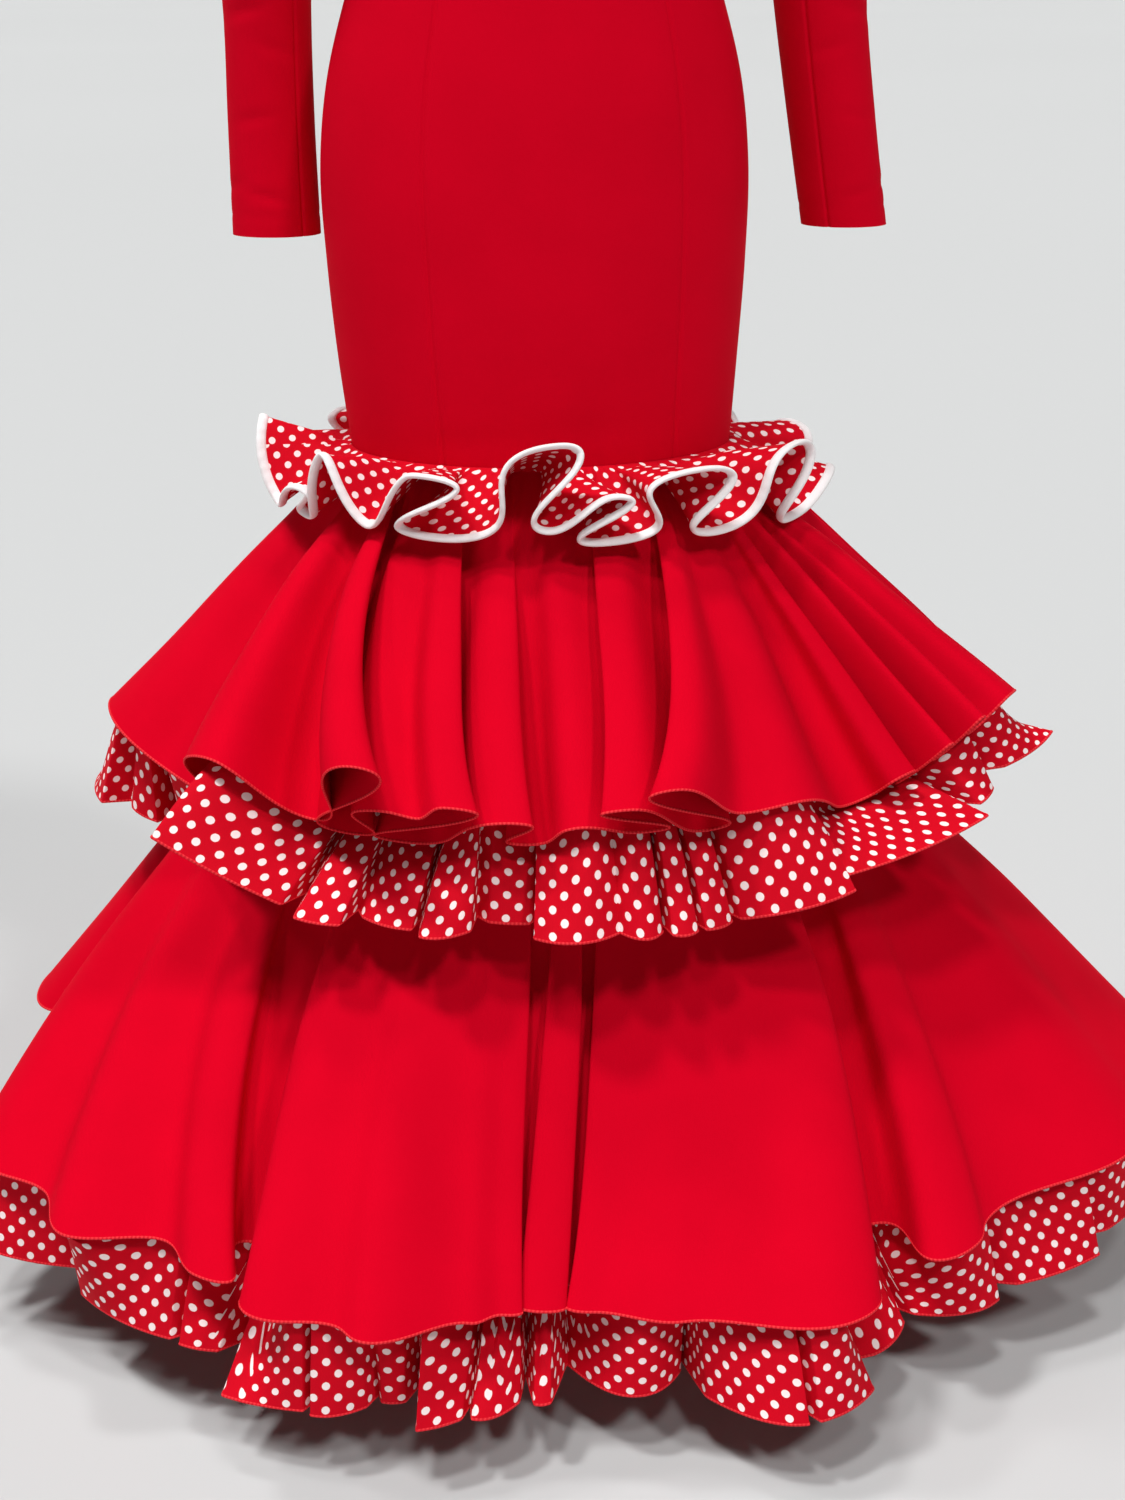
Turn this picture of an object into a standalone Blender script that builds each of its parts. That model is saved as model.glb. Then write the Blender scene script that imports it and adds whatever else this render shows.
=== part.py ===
"""Flamenco dress: a long-sleeved red sheath cut in princess panels, flared out below the hips.

A bound ruffle and the upper flounce are sewn into the sheath's lower seam. A short base skirt
goes on from there and carries the lower flounce. Each flounce has a gathered dotted ruffle
under its hem. The dress keeps the hollow form of the figure that wears it.

Metres, +Z up, front towards -Y. The origin is on the shoulder line, between the shoulders.
Azimuths are in degrees seen from the dress's axis: 0 in front, 90 at +X, 180 behind.
"""
import math

import bmesh
import bpy
import numpy as np
from mathutils import Matrix, Vector

# Driving sizes. Heights are above the floor; the shoulder line is the origin.
SHOULDER_LINE = 1.500
WALL = 0.0012            # cloth, as a rigid wall
GAP = 0.0003             # between pieces at a seam
GAP_EASE = 1.3           # an edge that runs at a slant needs this much more of it
PRINCESS_FRONT = 36.0    # azimuth of the front princess seams
PRINCESS_BACK = 146.0    # azimuth of the back princess seams

# Sheath sections: height, half width, depth in front and behind, sideways drift of the middle.
BODY_COLUMNS = ("height", "half_width", "front", "back", "drift")
BODY_ROWS = (
    (0.668, 0.1630, 0.125, 0.125, 0.004),
    (0.740, 0.1700, 0.127, 0.128, 0.002),
    (0.820, 0.1760, 0.127, 0.131, 0.001),
    (0.900, 0.1780, 0.124, 0.133, 0.000),
    (0.970, 0.1700, 0.118, 0.128, 0.000),
    (1.030, 0.1540, 0.110, 0.114, 0.000),
    (1.120, 0.1220, 0.094, 0.088, 0.000),
    (1.180, 0.1280, 0.106, 0.092, 0.000),
    (1.245, 0.1440, 0.128, 0.100, 0.000),
    (1.295, 0.1490, 0.126, 0.104, 0.000),
    (1.335, 0.1500, 0.116, 0.106, 0.000),
)
LIFTED = 10.0            # a level below this is a height, one above it is this plus degrees of lift
ARMPIT = BODY_ROWS[-1][0]
SHEATH_HEM = BODY_ROWS[0][0]

# Shoulders and neck. Above the armpit the body closes over in a quarter round.
NECK_HALF_WIDTH = 0.078
NECK_SIDE_HEIGHT = 1.525
NECK_FRONT_HEIGHT = 1.432
NECK_BACK_HEIGHT = 1.503
SHOULDER_TIP = (0.186, 1.474)    # x, height
SEAM_LIFT = 89.88                # where a panel stops short of the shoulder seam
SHOULDER_SECTION = 0.211         # half width that the body's section would reach at the top
ARMHOLE_INSET = 0.4              # degrees between the body's edge and the sleeve's
ARMHOLE_COLUMNS = ("lift", "azimuth")
ARMHOLE_ROWS = ((0.0, 90.0), (5.0, 79.0), (12.0, 70.0), (25.0, 64.0), (50.0, 61.0), (90.0, 62.0))

# Sleeves: height, then for each side how far out and back the middle lies, half width, half depth.
SLEEVE_COLUMNS = ("height", "out", "back", "half_width", "half_depth")
SLEEVE_RIGHT_ROWS = (
    (1.250, 0.216, 0.004, 0.0520, 0.0560),
    (1.180, 0.224, 0.006, 0.0465, 0.0510),
    (1.110, 0.232, 0.008, 0.0420, 0.0465),
    (1.030, 0.240, 0.011, 0.0385, 0.0420),
    (0.930, 0.254, 0.010, 0.0370, 0.0375),
    (0.845, 0.2675, 0.009, 0.0365, 0.0335),
)
SLEEVE_LEFT_ROWS = (
    (1.250, 0.214, 0.010, 0.0520, 0.0560),
    (1.180, 0.217, 0.026, 0.0465, 0.0510),
    (1.110, 0.216, 0.044, 0.0415, 0.0465),
    (1.030, 0.214, 0.062, 0.0365, 0.0420),
    (0.930, 0.214, 0.066, 0.0362, 0.0375),
    (0.839, 0.213, 0.064, 0.0372, 0.0335),
)
SLEEVE_SEAMS = (-35.0, -178.0)   # front and back seam, in degrees round the sleeve from its front

# Rings that the skirt's layers hang from: half width, half depth, height, sideways drift.
BASE_HEM = 0.455
SHEATH_RING = (0.1630, 0.1250, SHEATH_HEM, 0.004)
BASE_RING = (0.2250, 0.1920, BASE_HEM, 0.010)
HEM_DRIFT = 0.012                # the skirt hangs a little to one side

# Folds, one row each, counted round from the left. A fold runs from its crest to its trough:
# azimuth and steepness (degrees below level) of each, and how far the flanks before the crest
# and after it roll over, in degrees.
# crest_at, crest_steep, trough_at, trough_steep, roll_before, roll_after, start_at
BOUND_LENGTH = 0.088
BINDING_DEPTH = 0.0085
BINDING_THICKNESS = 0.0030
BOUND_FOLDS = (
    (-94, -16, -85, 32, 0, 0, -93.5),
    (-68, 11, -67, 29, 0, 3, -74.5),
    (-60, -11, -50, 27, 0, 0, -57),
    (-38, -6, -33, 31, 0, 9, -41.5),
    (-5, -24, -9, 24, 5, 4.5, -12.5),
    (5.5, 4, 1.5, 33, 0, 5, 0.5),
    (27, -7, 31, 33, 7, 5.5, 22.5),
    (54, -12, 56, 37, 3, 4, 49),
    (81, 17, 92, 38, 2, 0, 79),
    (107, 4, 113, 34, 3, 4, 104),
    (131, -4, 134, 30, 0, 5, 126.5),
    (153, 0, 156, 32, 2, 5, 148),
    (177, -20, 181, 26, 0, 5, 172.5),
    (201, 0, 205, 31, 3, 4, 197),
    (226, -2, 230, 31, 0, 5, 221),
    (248, 4, 256, 33, 2, 0, 246),
)
UPPER_LENGTH = 0.315
UPPER_FOLDS = (
    (-93, 44.5, -64, 56, 1, 2, -82),
    (-49.5, 35.5, -41, 49, 2, 0.5, -66),
    (-30, 31.6, -38, 53, 1.2, 4.8, -58),
    (-28.5, 42.2, -25, 43.9, 2.6, 0, -48.5),
    (-21.5, 39.8, -29, 54, 0, 6.2, -37),
    (-13.5, 43.7, -12, 52, 1, 2.4, -21.5),
    (-4.5, 45.2, 2.5, 48.2, 0.8, 0, -6.5),
    (1.1, 40.4, 11.9, 50.2, 4.5, 0, 9.5),
    (5.7, 36, 16.5, 45.4, 5, 0, 32.5),
    (24, 44.5, 40, 54, 0, 0, 38),
    (46, 46.7, 48.2, 51.5, 1.5, 1, 47),
    (49, 41, 50.8, 46, 0.4, 1, 53),
    (52, 36.3, 54, 41, 0.4, 1, 58),
    (58, 34.5, 84, 57, 0.4, 1, 64),
    (102, 42, 112, 56, 0, 3.5, 93),
    (124, 38, 134, 54, 1, 3, 117),
    (146, 44, 150, 57, 1, 4.5, 140),
    (168, 37, 178, 54, 0, 3, 163),
    (190, 43, 197, 57, 2, 4, 186),
    (213, 38, 222, 54, 0, 3, 208),
    (228, 42, 238, 57, 1, 4, 228),
    (245, 46.5, 258, 51.5, 1, 0, 248),
)

# The lower flounce's hem hangs level, so its folds give the reach from the axis instead.
# crest_at, crest_reach, trough_at, trough_reach, roll_before, roll_after, start_at
LOWER_HEM_FRONT = 0.096
LOWER_HEM_SIDES = 0.140
LOWER_FOLDS = (
    (-105, 0.487, -86, 0.440, 0, 2, -106),
    (-66, 0.552, -59, 0.527, 1, 0, -85),
    (-53.2, 0.549, -45.6, 0.497, 0, 0, -77),
    (-40.5, 0.516, -37.5, 0.452, 0, 2.4, -68),
    (-33, 0.536, -27, 0.519, 1.2, 0, -39),
    (-24, 0.531, -16, 0.486, 0, 0, -31),
    (-13.2, 0.471, -13.8, 0.432, 0, 2, -15),
    (-9.6, 0.464, -7.6, 0.425, 1.5, 1.8, -4),
    (-5, 0.464, 3, 0.486, 1.8, 0, 4.5),
    (16, 0.532, 25.5, 0.432, 0, 1.8, 34),
    (30.5, 0.512, 37.5, 0.494, 2, 0.5, 52),
    (54, 0.552, 64, 0.545, 0, 1, 66),
    (74, 0.548, 92, 0.460, 1, 2, 79),
    (110, 0.528, 122, 0.445, 0, 2, 108),
    (138, 0.530, 148, 0.450, 1, 2, 136),
    (163, 0.528, 172, 0.440, 0, 2, 162),
    (189, 0.532, 199, 0.450, 1, 2, 188),
    (216, 0.526, 232, 0.440, 0, 2, 216),
)

# How steep each layer is at its seam, and the share of its length by which its folds are grown.
UPPER_TOP_STEEP = 45.0
UPPER_GROWN = 0.45
LOWER_TOP_STEEP = 53.0
LOWER_GROWN = 0.65
BOUND_TOP_STEEP = 12.0
BOUND_GROWN = 0.35
BOUND_EARLY = 0.0

# Dotted ruffles. Each row is one flat panel between two grooves, along the ruffle's hem: azimuth,
# reach from the axis and height above the floor of its left edge and of its right edge, how far its
# middle swells out, and azimuth and reach of the groove after it, which may tuck back under a
# panel, in degrees and mm.
# left_at, left_out, left_low, right_at, right_out, right_low, swell, groove_at, groove_out
UPPER_PANELS = (
    (-51.5, 450, 430, -40.8, 390, 373, 2, -41.5, 352),
    (-39.2, 390, 365, -34.2, 377, 360, 3, -34.6, 344),
    (-33.0, 355, 360, -25.7, 365, 360, 4, -25.8, 340),
    (-24.2, 376, 360, -18.6, 357, 360, 8, -18.8, 328),
    (-16.9, 338, 360, -11.6, 338, 360, 1, -10.0, 322),
    (-10.9, 366, 360, 0.0, 357, 360, 15, -1.4, 332),
    (-0.6, 357, 360, 4.8, 364, 360, 15, 5.2, 342),
    (5.6, 372, 360, 9.0, 369, 360, 5, 9.2, 344),
    (9.9, 369, 360, 14.0, 361, 360, 4, 14.5, 338),
    (15.2, 360, 360, 28.8, 390, 376, 7, 27.3, 354),
    (29.8, 367, 378, 57.5, 398, 381, 2, 59.0, 364),
    (60.5, 375, 389, 65.0, 387, 391, 1, 64.8, 366),
    (66.5, 399, 405, 79.0, 446, 404, 8, 80.6, 376),
    (82.0, 380, 335, 92.0, 388, 335, 8, 93.0, 345),
    (94.5, 396, 345, 105.0, 402, 352, 10, 106.5, 350),
    (107.5, 372, 332, 117.0, 380, 338, 8, 118.5, 345),
    (119.5, 402, 356, 129.0, 396, 356, 8, 128.5, 345),
    (131.5, 376, 342, 142.5, 366, 335, 6, 144.0, 325),
    (145.5, 350, 330, 155.0, 352, 332, 6, 155.0, 312),
    (157.5, 368, 345, 168.5, 402, 375, 4, 169.0, 350),
    (171.0, 385, 362, 181.0, 356, 338, 4, 181.5, 322),
    (183.5, 362, 343, 193.0, 352, 336, 8, 194.0, 315),
    (196.0, 342, 328, 205.5, 372, 346, 2, 206.0, 340),
    (208.0, 400, 368, 217.5, 390, 358, 8, 217.0, 342),
    (219.5, 372, 342, 229.0, 384, 348, 2, 230.0, 342),
    (231.0, 396, 354, 241.0, 372, 335, 6, 241.5, 330),
    (243.5, 360, 325, 254.0, 398, 346, 2, 254.5, 350),
    (256.5, 412, 356, 271.0, 400, 360, 4, 270.5, 374),
    (272.8, 374, 358, 276.0, 354, 350, 3, 272.5, 332),
    (277.5, 334, 350, 298.0, 338, 365, 0, 304.5, 358),
)
LOWER_PANELS = (
    (-56.3, 516, 42, -45.0, 506, 38, 5, -44.5, 494),
    (-43.9, 506, 37, -40.3, 495, 36, 2, -39.4, 452),
    (-37.3, 528, 25, -29.9, 520, 25, 2, -29.6, 505),
    (-29.1, 523, 25, -25.0, 500, 25, 6, -24.6, 482),
    (-24.0, 491, 25, -21.9, 486, 25, 2, -21.2, 454),
    (-20.0, 520, 25, -16.5, 500, 25, 2, -16.1, 482),
    (-15.7, 499, 25, -11.7, 475, 25, 8, -11.4, 438),
    (-10.4, 477, 25, -8.8, 475, 25, 2, -7.2, 424),
    (-5.3, 446, 25, 4.3, 444, 25, 28, 4.6, 412),
    (5.3, 482, 25, 12.2, 539, 25, 12, 12.6, 522),
    (13.2, 539, 25, 19.6, 520, 25, 5, 20.4, 482),
    (22.4, 487, 28, 28.0, 470, 32, 5, 28.2, 436),
    (29.1, 470, 35, 37.2, 504, 36, 12, 37.8, 472),
    (39.8, 505, 39, 48.2, 543, 44, 3, 48.4, 506),
    (52.0, 536, 46, 62.0, 556, 52, 4, 62.5, 515),
    (64.5, 546, 54, 75.0, 552, 58, 6, 75.5, 515),
    (77.5, 530, 57, 87.5, 482, 59, 2, 88.0, 452),
    (90.0, 474, 60, 101.0, 505, 56, 6, 101.0, 476),
    (103.0, 526, 55, 114.0, 530, 48, 16, 113.5, 486),
    (116.5, 500, 44, 127.0, 486, 42, 4, 127.5, 456),
    (129.5, 506, 37, 142.0, 530, 30, 14, 141.5, 486),
    (144.0, 496, 28, 154.5, 500, 24, 4, 155.0, 468),
    (157.0, 522, 22, 167.5, 506, 16, 16, 167.0, 468),
    (170.0, 482, 18, 180.0, 502, 14, 2, 180.5, 472),
    (182.5, 528, 12, 193.0, 516, 14, 16, 192.5, 476),
    (195.5, 492, 18, 206.0, 500, 22, 2, 206.5, 468),
    (208.5, 520, 24, 222.0, 526, 32, 16, 221.5, 484),
    (224.0, 496, 34, 235.0, 472, 44, 2, 235.5, 442),
    (238.0, 474, 47, 249.0, 502, 54, 3, 249.5, 474),
    (251.5, 474, 60, 263.0, 458, 62, 6, 263.5, 430),
    (266.0, 452, 60, 277.5, 456, 60, 0, 278.0, 432),
    (281.0, 492, 54, 289.5, 556, 52, 6, 289.5, 516),
    (291.8, 560, 50, 300.4, 499, 45, 6, 301.2, 468),
)
UPPER_SEWN_AT = 0.84             # where the ruffle is sewn, as a share of the flounce's length
LOWER_SEWN_AT = 0.88
RUFFLE_SPREAD = 2.0              # degrees each way that a fold has to be wide to take the ruffle in
RUFFLE_EVENS = 3.0               # degrees each way that the line of its folds evens out
GROOVE_DEPTH = 0.034             # deepest that its grooves go at the flounce's hem
GROOVE_AT_SEAM = 0.15            # share of that depth at its seam
GROOVE_AT_HEM = 0.90             # and at the flounce's hem
RUFFLE_CURVE = 1.15              # how much more steeply it hangs towards its own hem
RUFFLE_SEAT = 0.0008             # between the flounce's inside and the ruffle's top
RUFFLE_HANG = 0.0060             # between them at the flounce's hem
FOLDS_EVEN_OUT = 14              # a line evens out over one of so many shares of the round
STARTS_EVEN_OUT = 40
RUFFLE_EVENS_OUT = 24
FOLDS_EARLY = 2.0                # how much sooner than its hem a flounce begins to fold
SWELL_BEGINS = 0.3               # share of a panel's width at which its swell is full
STANDS_OUT = 0.7                 # share of its length that a layer stands out, about

# Grids: heights up the sheath, shares of the quarter round above it, shares down each layer.
SHEATH_LEVELS = (0.668, 0.740, 0.820, 0.900, 0.960, 1.010, 1.065, 1.120, 1.170, 1.220, 1.275,
                 1.335)
SHOULDER_LIFTS = (6.0, 14.0, 28.0, 48.0, 68.0, 90.0)
CAP_STEPS = 5
UPPER_STEPS = (0.0, 0.15, 0.34, 0.62, 1.0)
LOWER_STEPS = (0.0, 0.16, 0.40, 0.70, 1.0)
BOUND_STEPS = (0.0, 0.48, 1.0)
UPPER_COLUMNS_HALF = 72
LOWER_COLUMNS_HALF = 66
BOUND_COLUMNS_HALF = 84
UPPER_RUFFLE_COLUMNS = {"front": 108, "back": 84}
LOWER_RUFFLE_COLUMNS = {"front": 108, "back": 84}
PANEL_STEPS = 12                         # samples between two corners of a ruffle's panel line
SLEEVE_COLUMNS_UPPER = 7
SLEEVE_COLUMNS_UNDER = 6
BASE_COLUMNS_HALF = 14

# Zip pull on the centre-back seam.
ZIP_HEIGHT = 1.492
SLIDER_SIZE = (0.0056, 0.0090, 0.0026)   # across, along the seam, off the cloth
BAR_RADIUS = 0.0006
BAR_STAND = 0.0024                       # bar's middle off the slider's face
EYE_RADIUS = 0.0019
EYE_HOLE = 0.0010
PULL_LENGTH = 0.024
PULL_WIDTH = 0.0050
PULL_THICKNESS = 0.0013

SAMPLES = 2400                           # along a fold line
FLANK_SAMPLES = 48                       # along one flank of a fold in its table's own spacing
SHARE_STEP = 0.0006                      # how far either side of a place its slant is taken
DOWN_STEP = 0.002
BEND_SPACE = 0.012                       # metres of line that one radian of bend counts for


def start_clean():
    for item in list(bpy.data.objects):
        bpy.data.objects.remove(item, do_unlink=True)


def material(name, colour, roughness, metallic=0.0):
    made = bpy.data.materials.new(name)
    made.use_nodes = True
    shader = made.node_tree.nodes["Principled BSDF"]
    shader.inputs["Base Color"].default_value = (*colour, 1.0)
    shader.inputs["Roughness"].default_value = roughness
    shader.inputs["Metallic"].default_value = metallic
    made.diffuse_color = (*colour, 1.0)
    return made


def read_table(rows, columns, name, at, key=None):
    """A smooth curve through one named column, read at the key column's values."""
    table = np.array(rows, float)
    keys = table[:, columns.index(key or columns[0])]
    values = table[:, columns.index(name)]
    order = np.argsort(keys)
    keys = keys[order]
    values = values[order]
    slopes = np.gradient(values, keys)
    at = np.clip(at, keys[0], keys[-1])
    row = np.clip(np.searchsorted(keys, at) - 1, 0, len(keys) - 2)
    span = keys[row + 1] - keys[row]
    f = (at - keys[row]) / span
    return (values[row] * (2 * f**3 - 3 * f**2 + 1) + values[row + 1] * (3 * f**2 - 2 * f**3)
            + span * (slopes[row] * (f**3 - 2 * f**2 + f) + slopes[row + 1] * (f**3 - f**2)))


def unit(vectors):
    return vectors / np.linalg.norm(vectors, axis=-1, keepdims=True)


def normals(surface, u, v, du, dv):
    """Unit normals of surface(u, v), pointing along u x v."""
    across = surface(u + du, v) - surface(u - du, v)
    along = surface(u, v + dv) - surface(u, v - dv)
    return unit(np.cross(across, along))


def wall(name, outer, inner, cloth):
    """One closed wall between two grids of points, each [row][column]."""
    rows, columns = outer.shape[:2]
    points = np.concatenate([outer.reshape(-1, 3), inner.reshape(-1, 3)])
    skin = rows * columns
    quads = []
    for row in range(rows - 1):
        for column in range(columns - 1):
            a = row * columns + column
            b = a + 1
            c = a + columns + 1
            d = a + columns
            straight = np.linalg.norm(points[a] - points[c]) <= np.linalg.norm(points[b] - points[d])
            for face in (((a, b, c), (a, c, d)) if straight else ((a, b, d), (b, c, d))):
                quads.append(face)
                quads.append(tuple(skin + corner for corner in reversed(face)))
    rim = [column for column in range(columns)]
    rim += [row * columns + columns - 1 for row in range(1, rows)]
    rim += [(rows - 1) * columns + column for column in range(columns - 2, -1, -1)]
    rim += [row * columns for row in range(rows - 2, 0, -1)]
    for here, there in zip(rim, rim[1:] + rim[:1]):
        quads.append((here, skin + here, skin + there))
        quads.append((here, skin + there, there))
    mesh = bpy.data.meshes.new(name)
    mesh.from_pydata([tuple(point) for point in points], [], quads)
    shape = bmesh.new()
    shape.from_mesh(mesh)
    if shape.calc_volume(signed=True) < 0:
        bmesh.ops.reverse_faces(shape, faces=shape.faces)
    shape.to_mesh(mesh)
    shape.free()
    mesh.shade_smooth()
    mesh.set_sharp_from_angle(angle=math.radians(50))
    piece = bpy.data.objects.new(name, mesh)
    piece.data.materials.append(cloth)
    bpy.context.scene.collection.objects.link(piece)
    return piece


# ---- sheath ----

def shoulder_height(x):
    """Height of the shoulder seam at x, level across the neck."""
    fall = (NECK_SIDE_HEIGHT - SHOULDER_TIP[1]) / (SHOULDER_TIP[0] - NECK_HALF_WIDTH)
    return NECK_SIDE_HEIGHT - fall * np.maximum(np.abs(x) - NECK_HALF_WIDTH, 0.0)


def body(azimuth, level):
    """The sheath's outer surface, by azimuth and level."""
    azimuth = np.asarray(azimuth, float)
    level = np.asarray(level, float)
    angle = np.radians(azimuth)
    lift = np.radians(np.clip(level - LIFTED, 0.0, 90.0))
    height = np.where(level < LIFTED, level, ARMPIT)
    half_width = read_table(BODY_ROWS, BODY_COLUMNS, "half_width", height)
    front = read_table(BODY_ROWS, BODY_COLUMNS, "front", height)
    back = read_table(BODY_ROWS, BODY_COLUMNS, "back", height)
    drift = read_table(BODY_ROWS, BODY_COLUMNS, "drift", height)
    half_width = half_width + (SHOULDER_SECTION - BODY_ROWS[-1][1]) * np.sin(lift) ** 2
    x = half_width * np.sin(angle)
    depth = np.where(np.cos(angle) > 0, front, back)
    y = -depth * np.cos(angle) * np.cos(lift)
    top = shoulder_height(x)
    z = np.where(level < LIFTED, height, ARMPIT + (top - ARMPIT) * np.sin(lift))
    return np.stack([x + drift, y, z - SHOULDER_LINE], -1)


def body_normals(azimuth, level):
    in_height = level < LIFTED
    step = np.where(in_height, 0.002, 1.0)
    low = np.maximum(level - step, np.where(in_height, SHEATH_HEM, LIFTED))
    high = np.minimum(level + step, np.where(in_height, ARMPIT, LIFTED + 90.0))
    across = body(azimuth + 0.5, level) - body(azimuth - 0.5, level)
    along = body(azimuth, high) - body(azimuth, low)
    return unit(np.cross(across, along))


def neck_lift(azimuth):
    """How far up the quarter round a column runs: to the neckline or to the shoulder seam."""
    angle = np.radians(azimuth)
    bottom = np.where(np.cos(angle) > 0, NECK_FRONT_HEIGHT, NECK_BACK_HEIGHT)
    lift = np.full_like(angle, 80.0)
    for _ in range(12):
        width = BODY_ROWS[-1][1] + (SHOULDER_SECTION - BODY_ROWS[-1][1]) * np.sin(np.radians(lift)) ** 2
        share = np.abs(width * np.sin(angle)) / NECK_HALF_WIDTH
        curve = np.sqrt(np.clip(1.0 - share**2, 0.0, 1.0))
        height = NECK_SIDE_HEIGHT - (NECK_SIDE_HEIGHT - bottom) * curve
        rise = (height - ARMPIT) / (NECK_SIDE_HEIGHT - ARMPIT)
        lift = np.degrees(np.arcsin(np.clip(rise, 0.0, 1.0)))
        lift = np.where(share >= 1.0, SEAM_LIFT, np.minimum(lift, SEAM_LIFT))
    return lift


def armhole_azimuth(level):
    lift = np.maximum(np.asarray(level) - LIFTED, 0.0)
    return read_table(ARMHOLE_ROWS, ARMHOLE_COLUMNS, "azimuth", lift)


def sheath_panel(name, edges, columns, cloth):
    """A princess panel between two azimuths, given from -180 to 180; 'side' edges end at the armhole."""
    levels = np.array(list(SHEATH_LEVELS) + [LIFTED + lift for lift in SHOULDER_LIFTS])
    azimuths = np.zeros((len(levels), columns + 1))
    for row, level in enumerate(levels):
        ends = []
        for edge, side in zip(edges, (1, -1)):
            width = read_table(BODY_ROWS, BODY_COLUMNS, "half_width", min(level, ARMPIT))
            gap = GAP_EASE * math.degrees(0.5 * GAP / float(width))
            at = edge
            if abs(abs(edge) - 90.0) < 1e-6:
                cut = float(armhole_azimuth(level))
                inward = 90.0 - cut
                at = math.copysign(90.0 + (inward if abs(sum(edges)) > 180.0 else -inward), edge)
            ends.append(at + side * gap)
        azimuths[row] = np.linspace(ends[0], ends[1], columns + 1)
    grid = np.repeat(levels[:, None], columns + 1, axis=1)
    top = neck_lift(azimuths[-1])
    shares = (grid - LIFTED) / 90.0
    grid = np.where(grid >= LIFTED, LIFTED + shares * top[None, :], grid)
    outer = body(azimuths, grid)
    inner = outer - WALL * body_normals(azimuths, grid)
    return wall(name, outer, inner, cloth)


def make_sheath(cloth):
    sheath_panel("front_centre", (-PRINCESS_FRONT, PRINCESS_FRONT), 6, cloth)
    for side, name in ((1, "right"), (-1, "left")):
        sheath_panel("front_side_" + name, sorted((side * PRINCESS_FRONT, side * 90.0)), 4, cloth)
        sheath_panel("back_side_" + name, sorted((side * 90.0, side * PRINCESS_BACK)), 3, cloth)
        sheath_panel("back_" + name, sorted((side * PRINCESS_BACK, side * 180.0)), 3, cloth)


# ---- sleeves ----

def armhole(around, side):
    """The armhole's edge, by degrees round the sleeve: 0 in front, 90 at the shoulder tip."""
    rise = 0.5 * (1.0 + np.sin(np.radians(around)))
    lift = np.degrees(np.arcsin(np.clip(rise, 0.0, 1.0)))
    rows = np.array((0.0,) + SHOULDER_LIFTS)
    edge = armhole_azimuth(LIFTED + rows)
    edge = edge + np.minimum(ARMHOLE_INSET, 90.0 - edge)
    points = []
    for azimuths in (edge, 180.0 - edge):
        rim = body(side * azimuths, LIFTED + np.minimum(rows, SEAM_LIFT))
        points.append(np.stack([np.interp(lift, rows, rim[:, axis]) for axis in range(3)], -1))
    in_front = np.cos(np.radians(around)) >= 0
    edge_points = np.where(in_front[..., None], points[0], points[1])
    edge_points[..., 0] += side * 1.5 * GAP
    return edge_points


def sleeve_rows(side):
    return SLEEVE_RIGHT_ROWS if side > 0 else SLEEVE_LEFT_ROWS


def sleeve(around, down, side):
    """The sleeve's outer surface: down runs 0 to 1 over the cap, then 1 to 2 to the cuff."""
    rows = sleeve_rows(side)
    turn = np.radians(around)
    heights = [row[0] for row in rows]
    height = heights[0] + (heights[-1] - heights[0]) * np.clip(down - 1.0, 0.0, 1.0)
    out = read_table(rows, SLEEVE_COLUMNS, "out", height)
    back = read_table(rows, SLEEVE_COLUMNS, "back", height)
    half_width = read_table(rows, SLEEVE_COLUMNS, "half_width", height)
    half_depth = read_table(rows, SLEEVE_COLUMNS, "half_depth", height)
    ring = np.stack([side * (out + half_width * np.sin(turn)), back - half_depth * np.cos(turn),
                     height - SHOULDER_LINE], -1)
    start = armhole(around, side)
    f = np.clip(down, 0.0, 1.0)[..., None]
    level_off = 0.5 * (1.0 + np.sin(turn))
    leave = np.stack([side * (0.030 + 0.085 * level_off), 0.0 * turn, -0.075 + 0.030 * level_off], -1)
    leave = np.broadcast_to(leave, start.shape)
    drop = start[..., 2] - ring[..., 2]
    arrive = np.stack([0.0 * drop, 0.0 * drop, -np.maximum(drop, 0.06)], -1)
    cap = (start * (2 * f**3 - 3 * f**2 + 1) + ring * (3 * f**2 - 2 * f**3)
           + leave * (f**3 - 2 * f**2 + f) + arrive * (f**3 - f**2))
    return np.where(down[..., None] < 1.0, cap, ring)


def sleeve_piece(name, side, ends, columns, cloth):
    downs = list(np.linspace(0.0, 1.0, CAP_STEPS + 1))
    rows = sleeve_rows(side)
    span = rows[0][0] - rows[-1][0]
    downs += [1.0 + (rows[0][0] - row[0]) / span for row in rows[1:]]
    half_gap = GAP_EASE * math.degrees(0.5 * GAP / rows[-1][3])
    around = np.linspace(ends[0] + half_gap, ends[1] - half_gap, columns + 1)
    around, down = np.meshgrid(around, np.array(downs))

    def surface(u, v):
        return sleeve(u, v, side)

    outer = surface(around, down)
    facing = side * normals(surface, around, np.clip(down, 0.004, 1.996), 0.5, 0.004)
    inner = outer + WALL * facing
    return wall(name, outer, inner, cloth)


def make_sleeves(cloth):
    front_seam, back_seam = SLEEVE_SEAMS
    for side, name in ((1, "right"), (-1, "left")):
        sleeve_piece("sleeve_upper_" + name, side, (front_seam, back_seam + 360.0),
                     SLEEVE_COLUMNS_UPPER, cloth)
        sleeve_piece("sleeve_under_" + name, side, (back_seam, front_seam), SLEEVE_COLUMNS_UNDER, cloth)


# ---- rings, flounces and ruffles ----

def ring_radius(ring, azimuth):
    angle = np.radians(azimuth)
    return 1.0 / np.sqrt((np.sin(angle) / ring[0]) ** 2 + (np.cos(angle) / ring[1]) ** 2)


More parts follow.
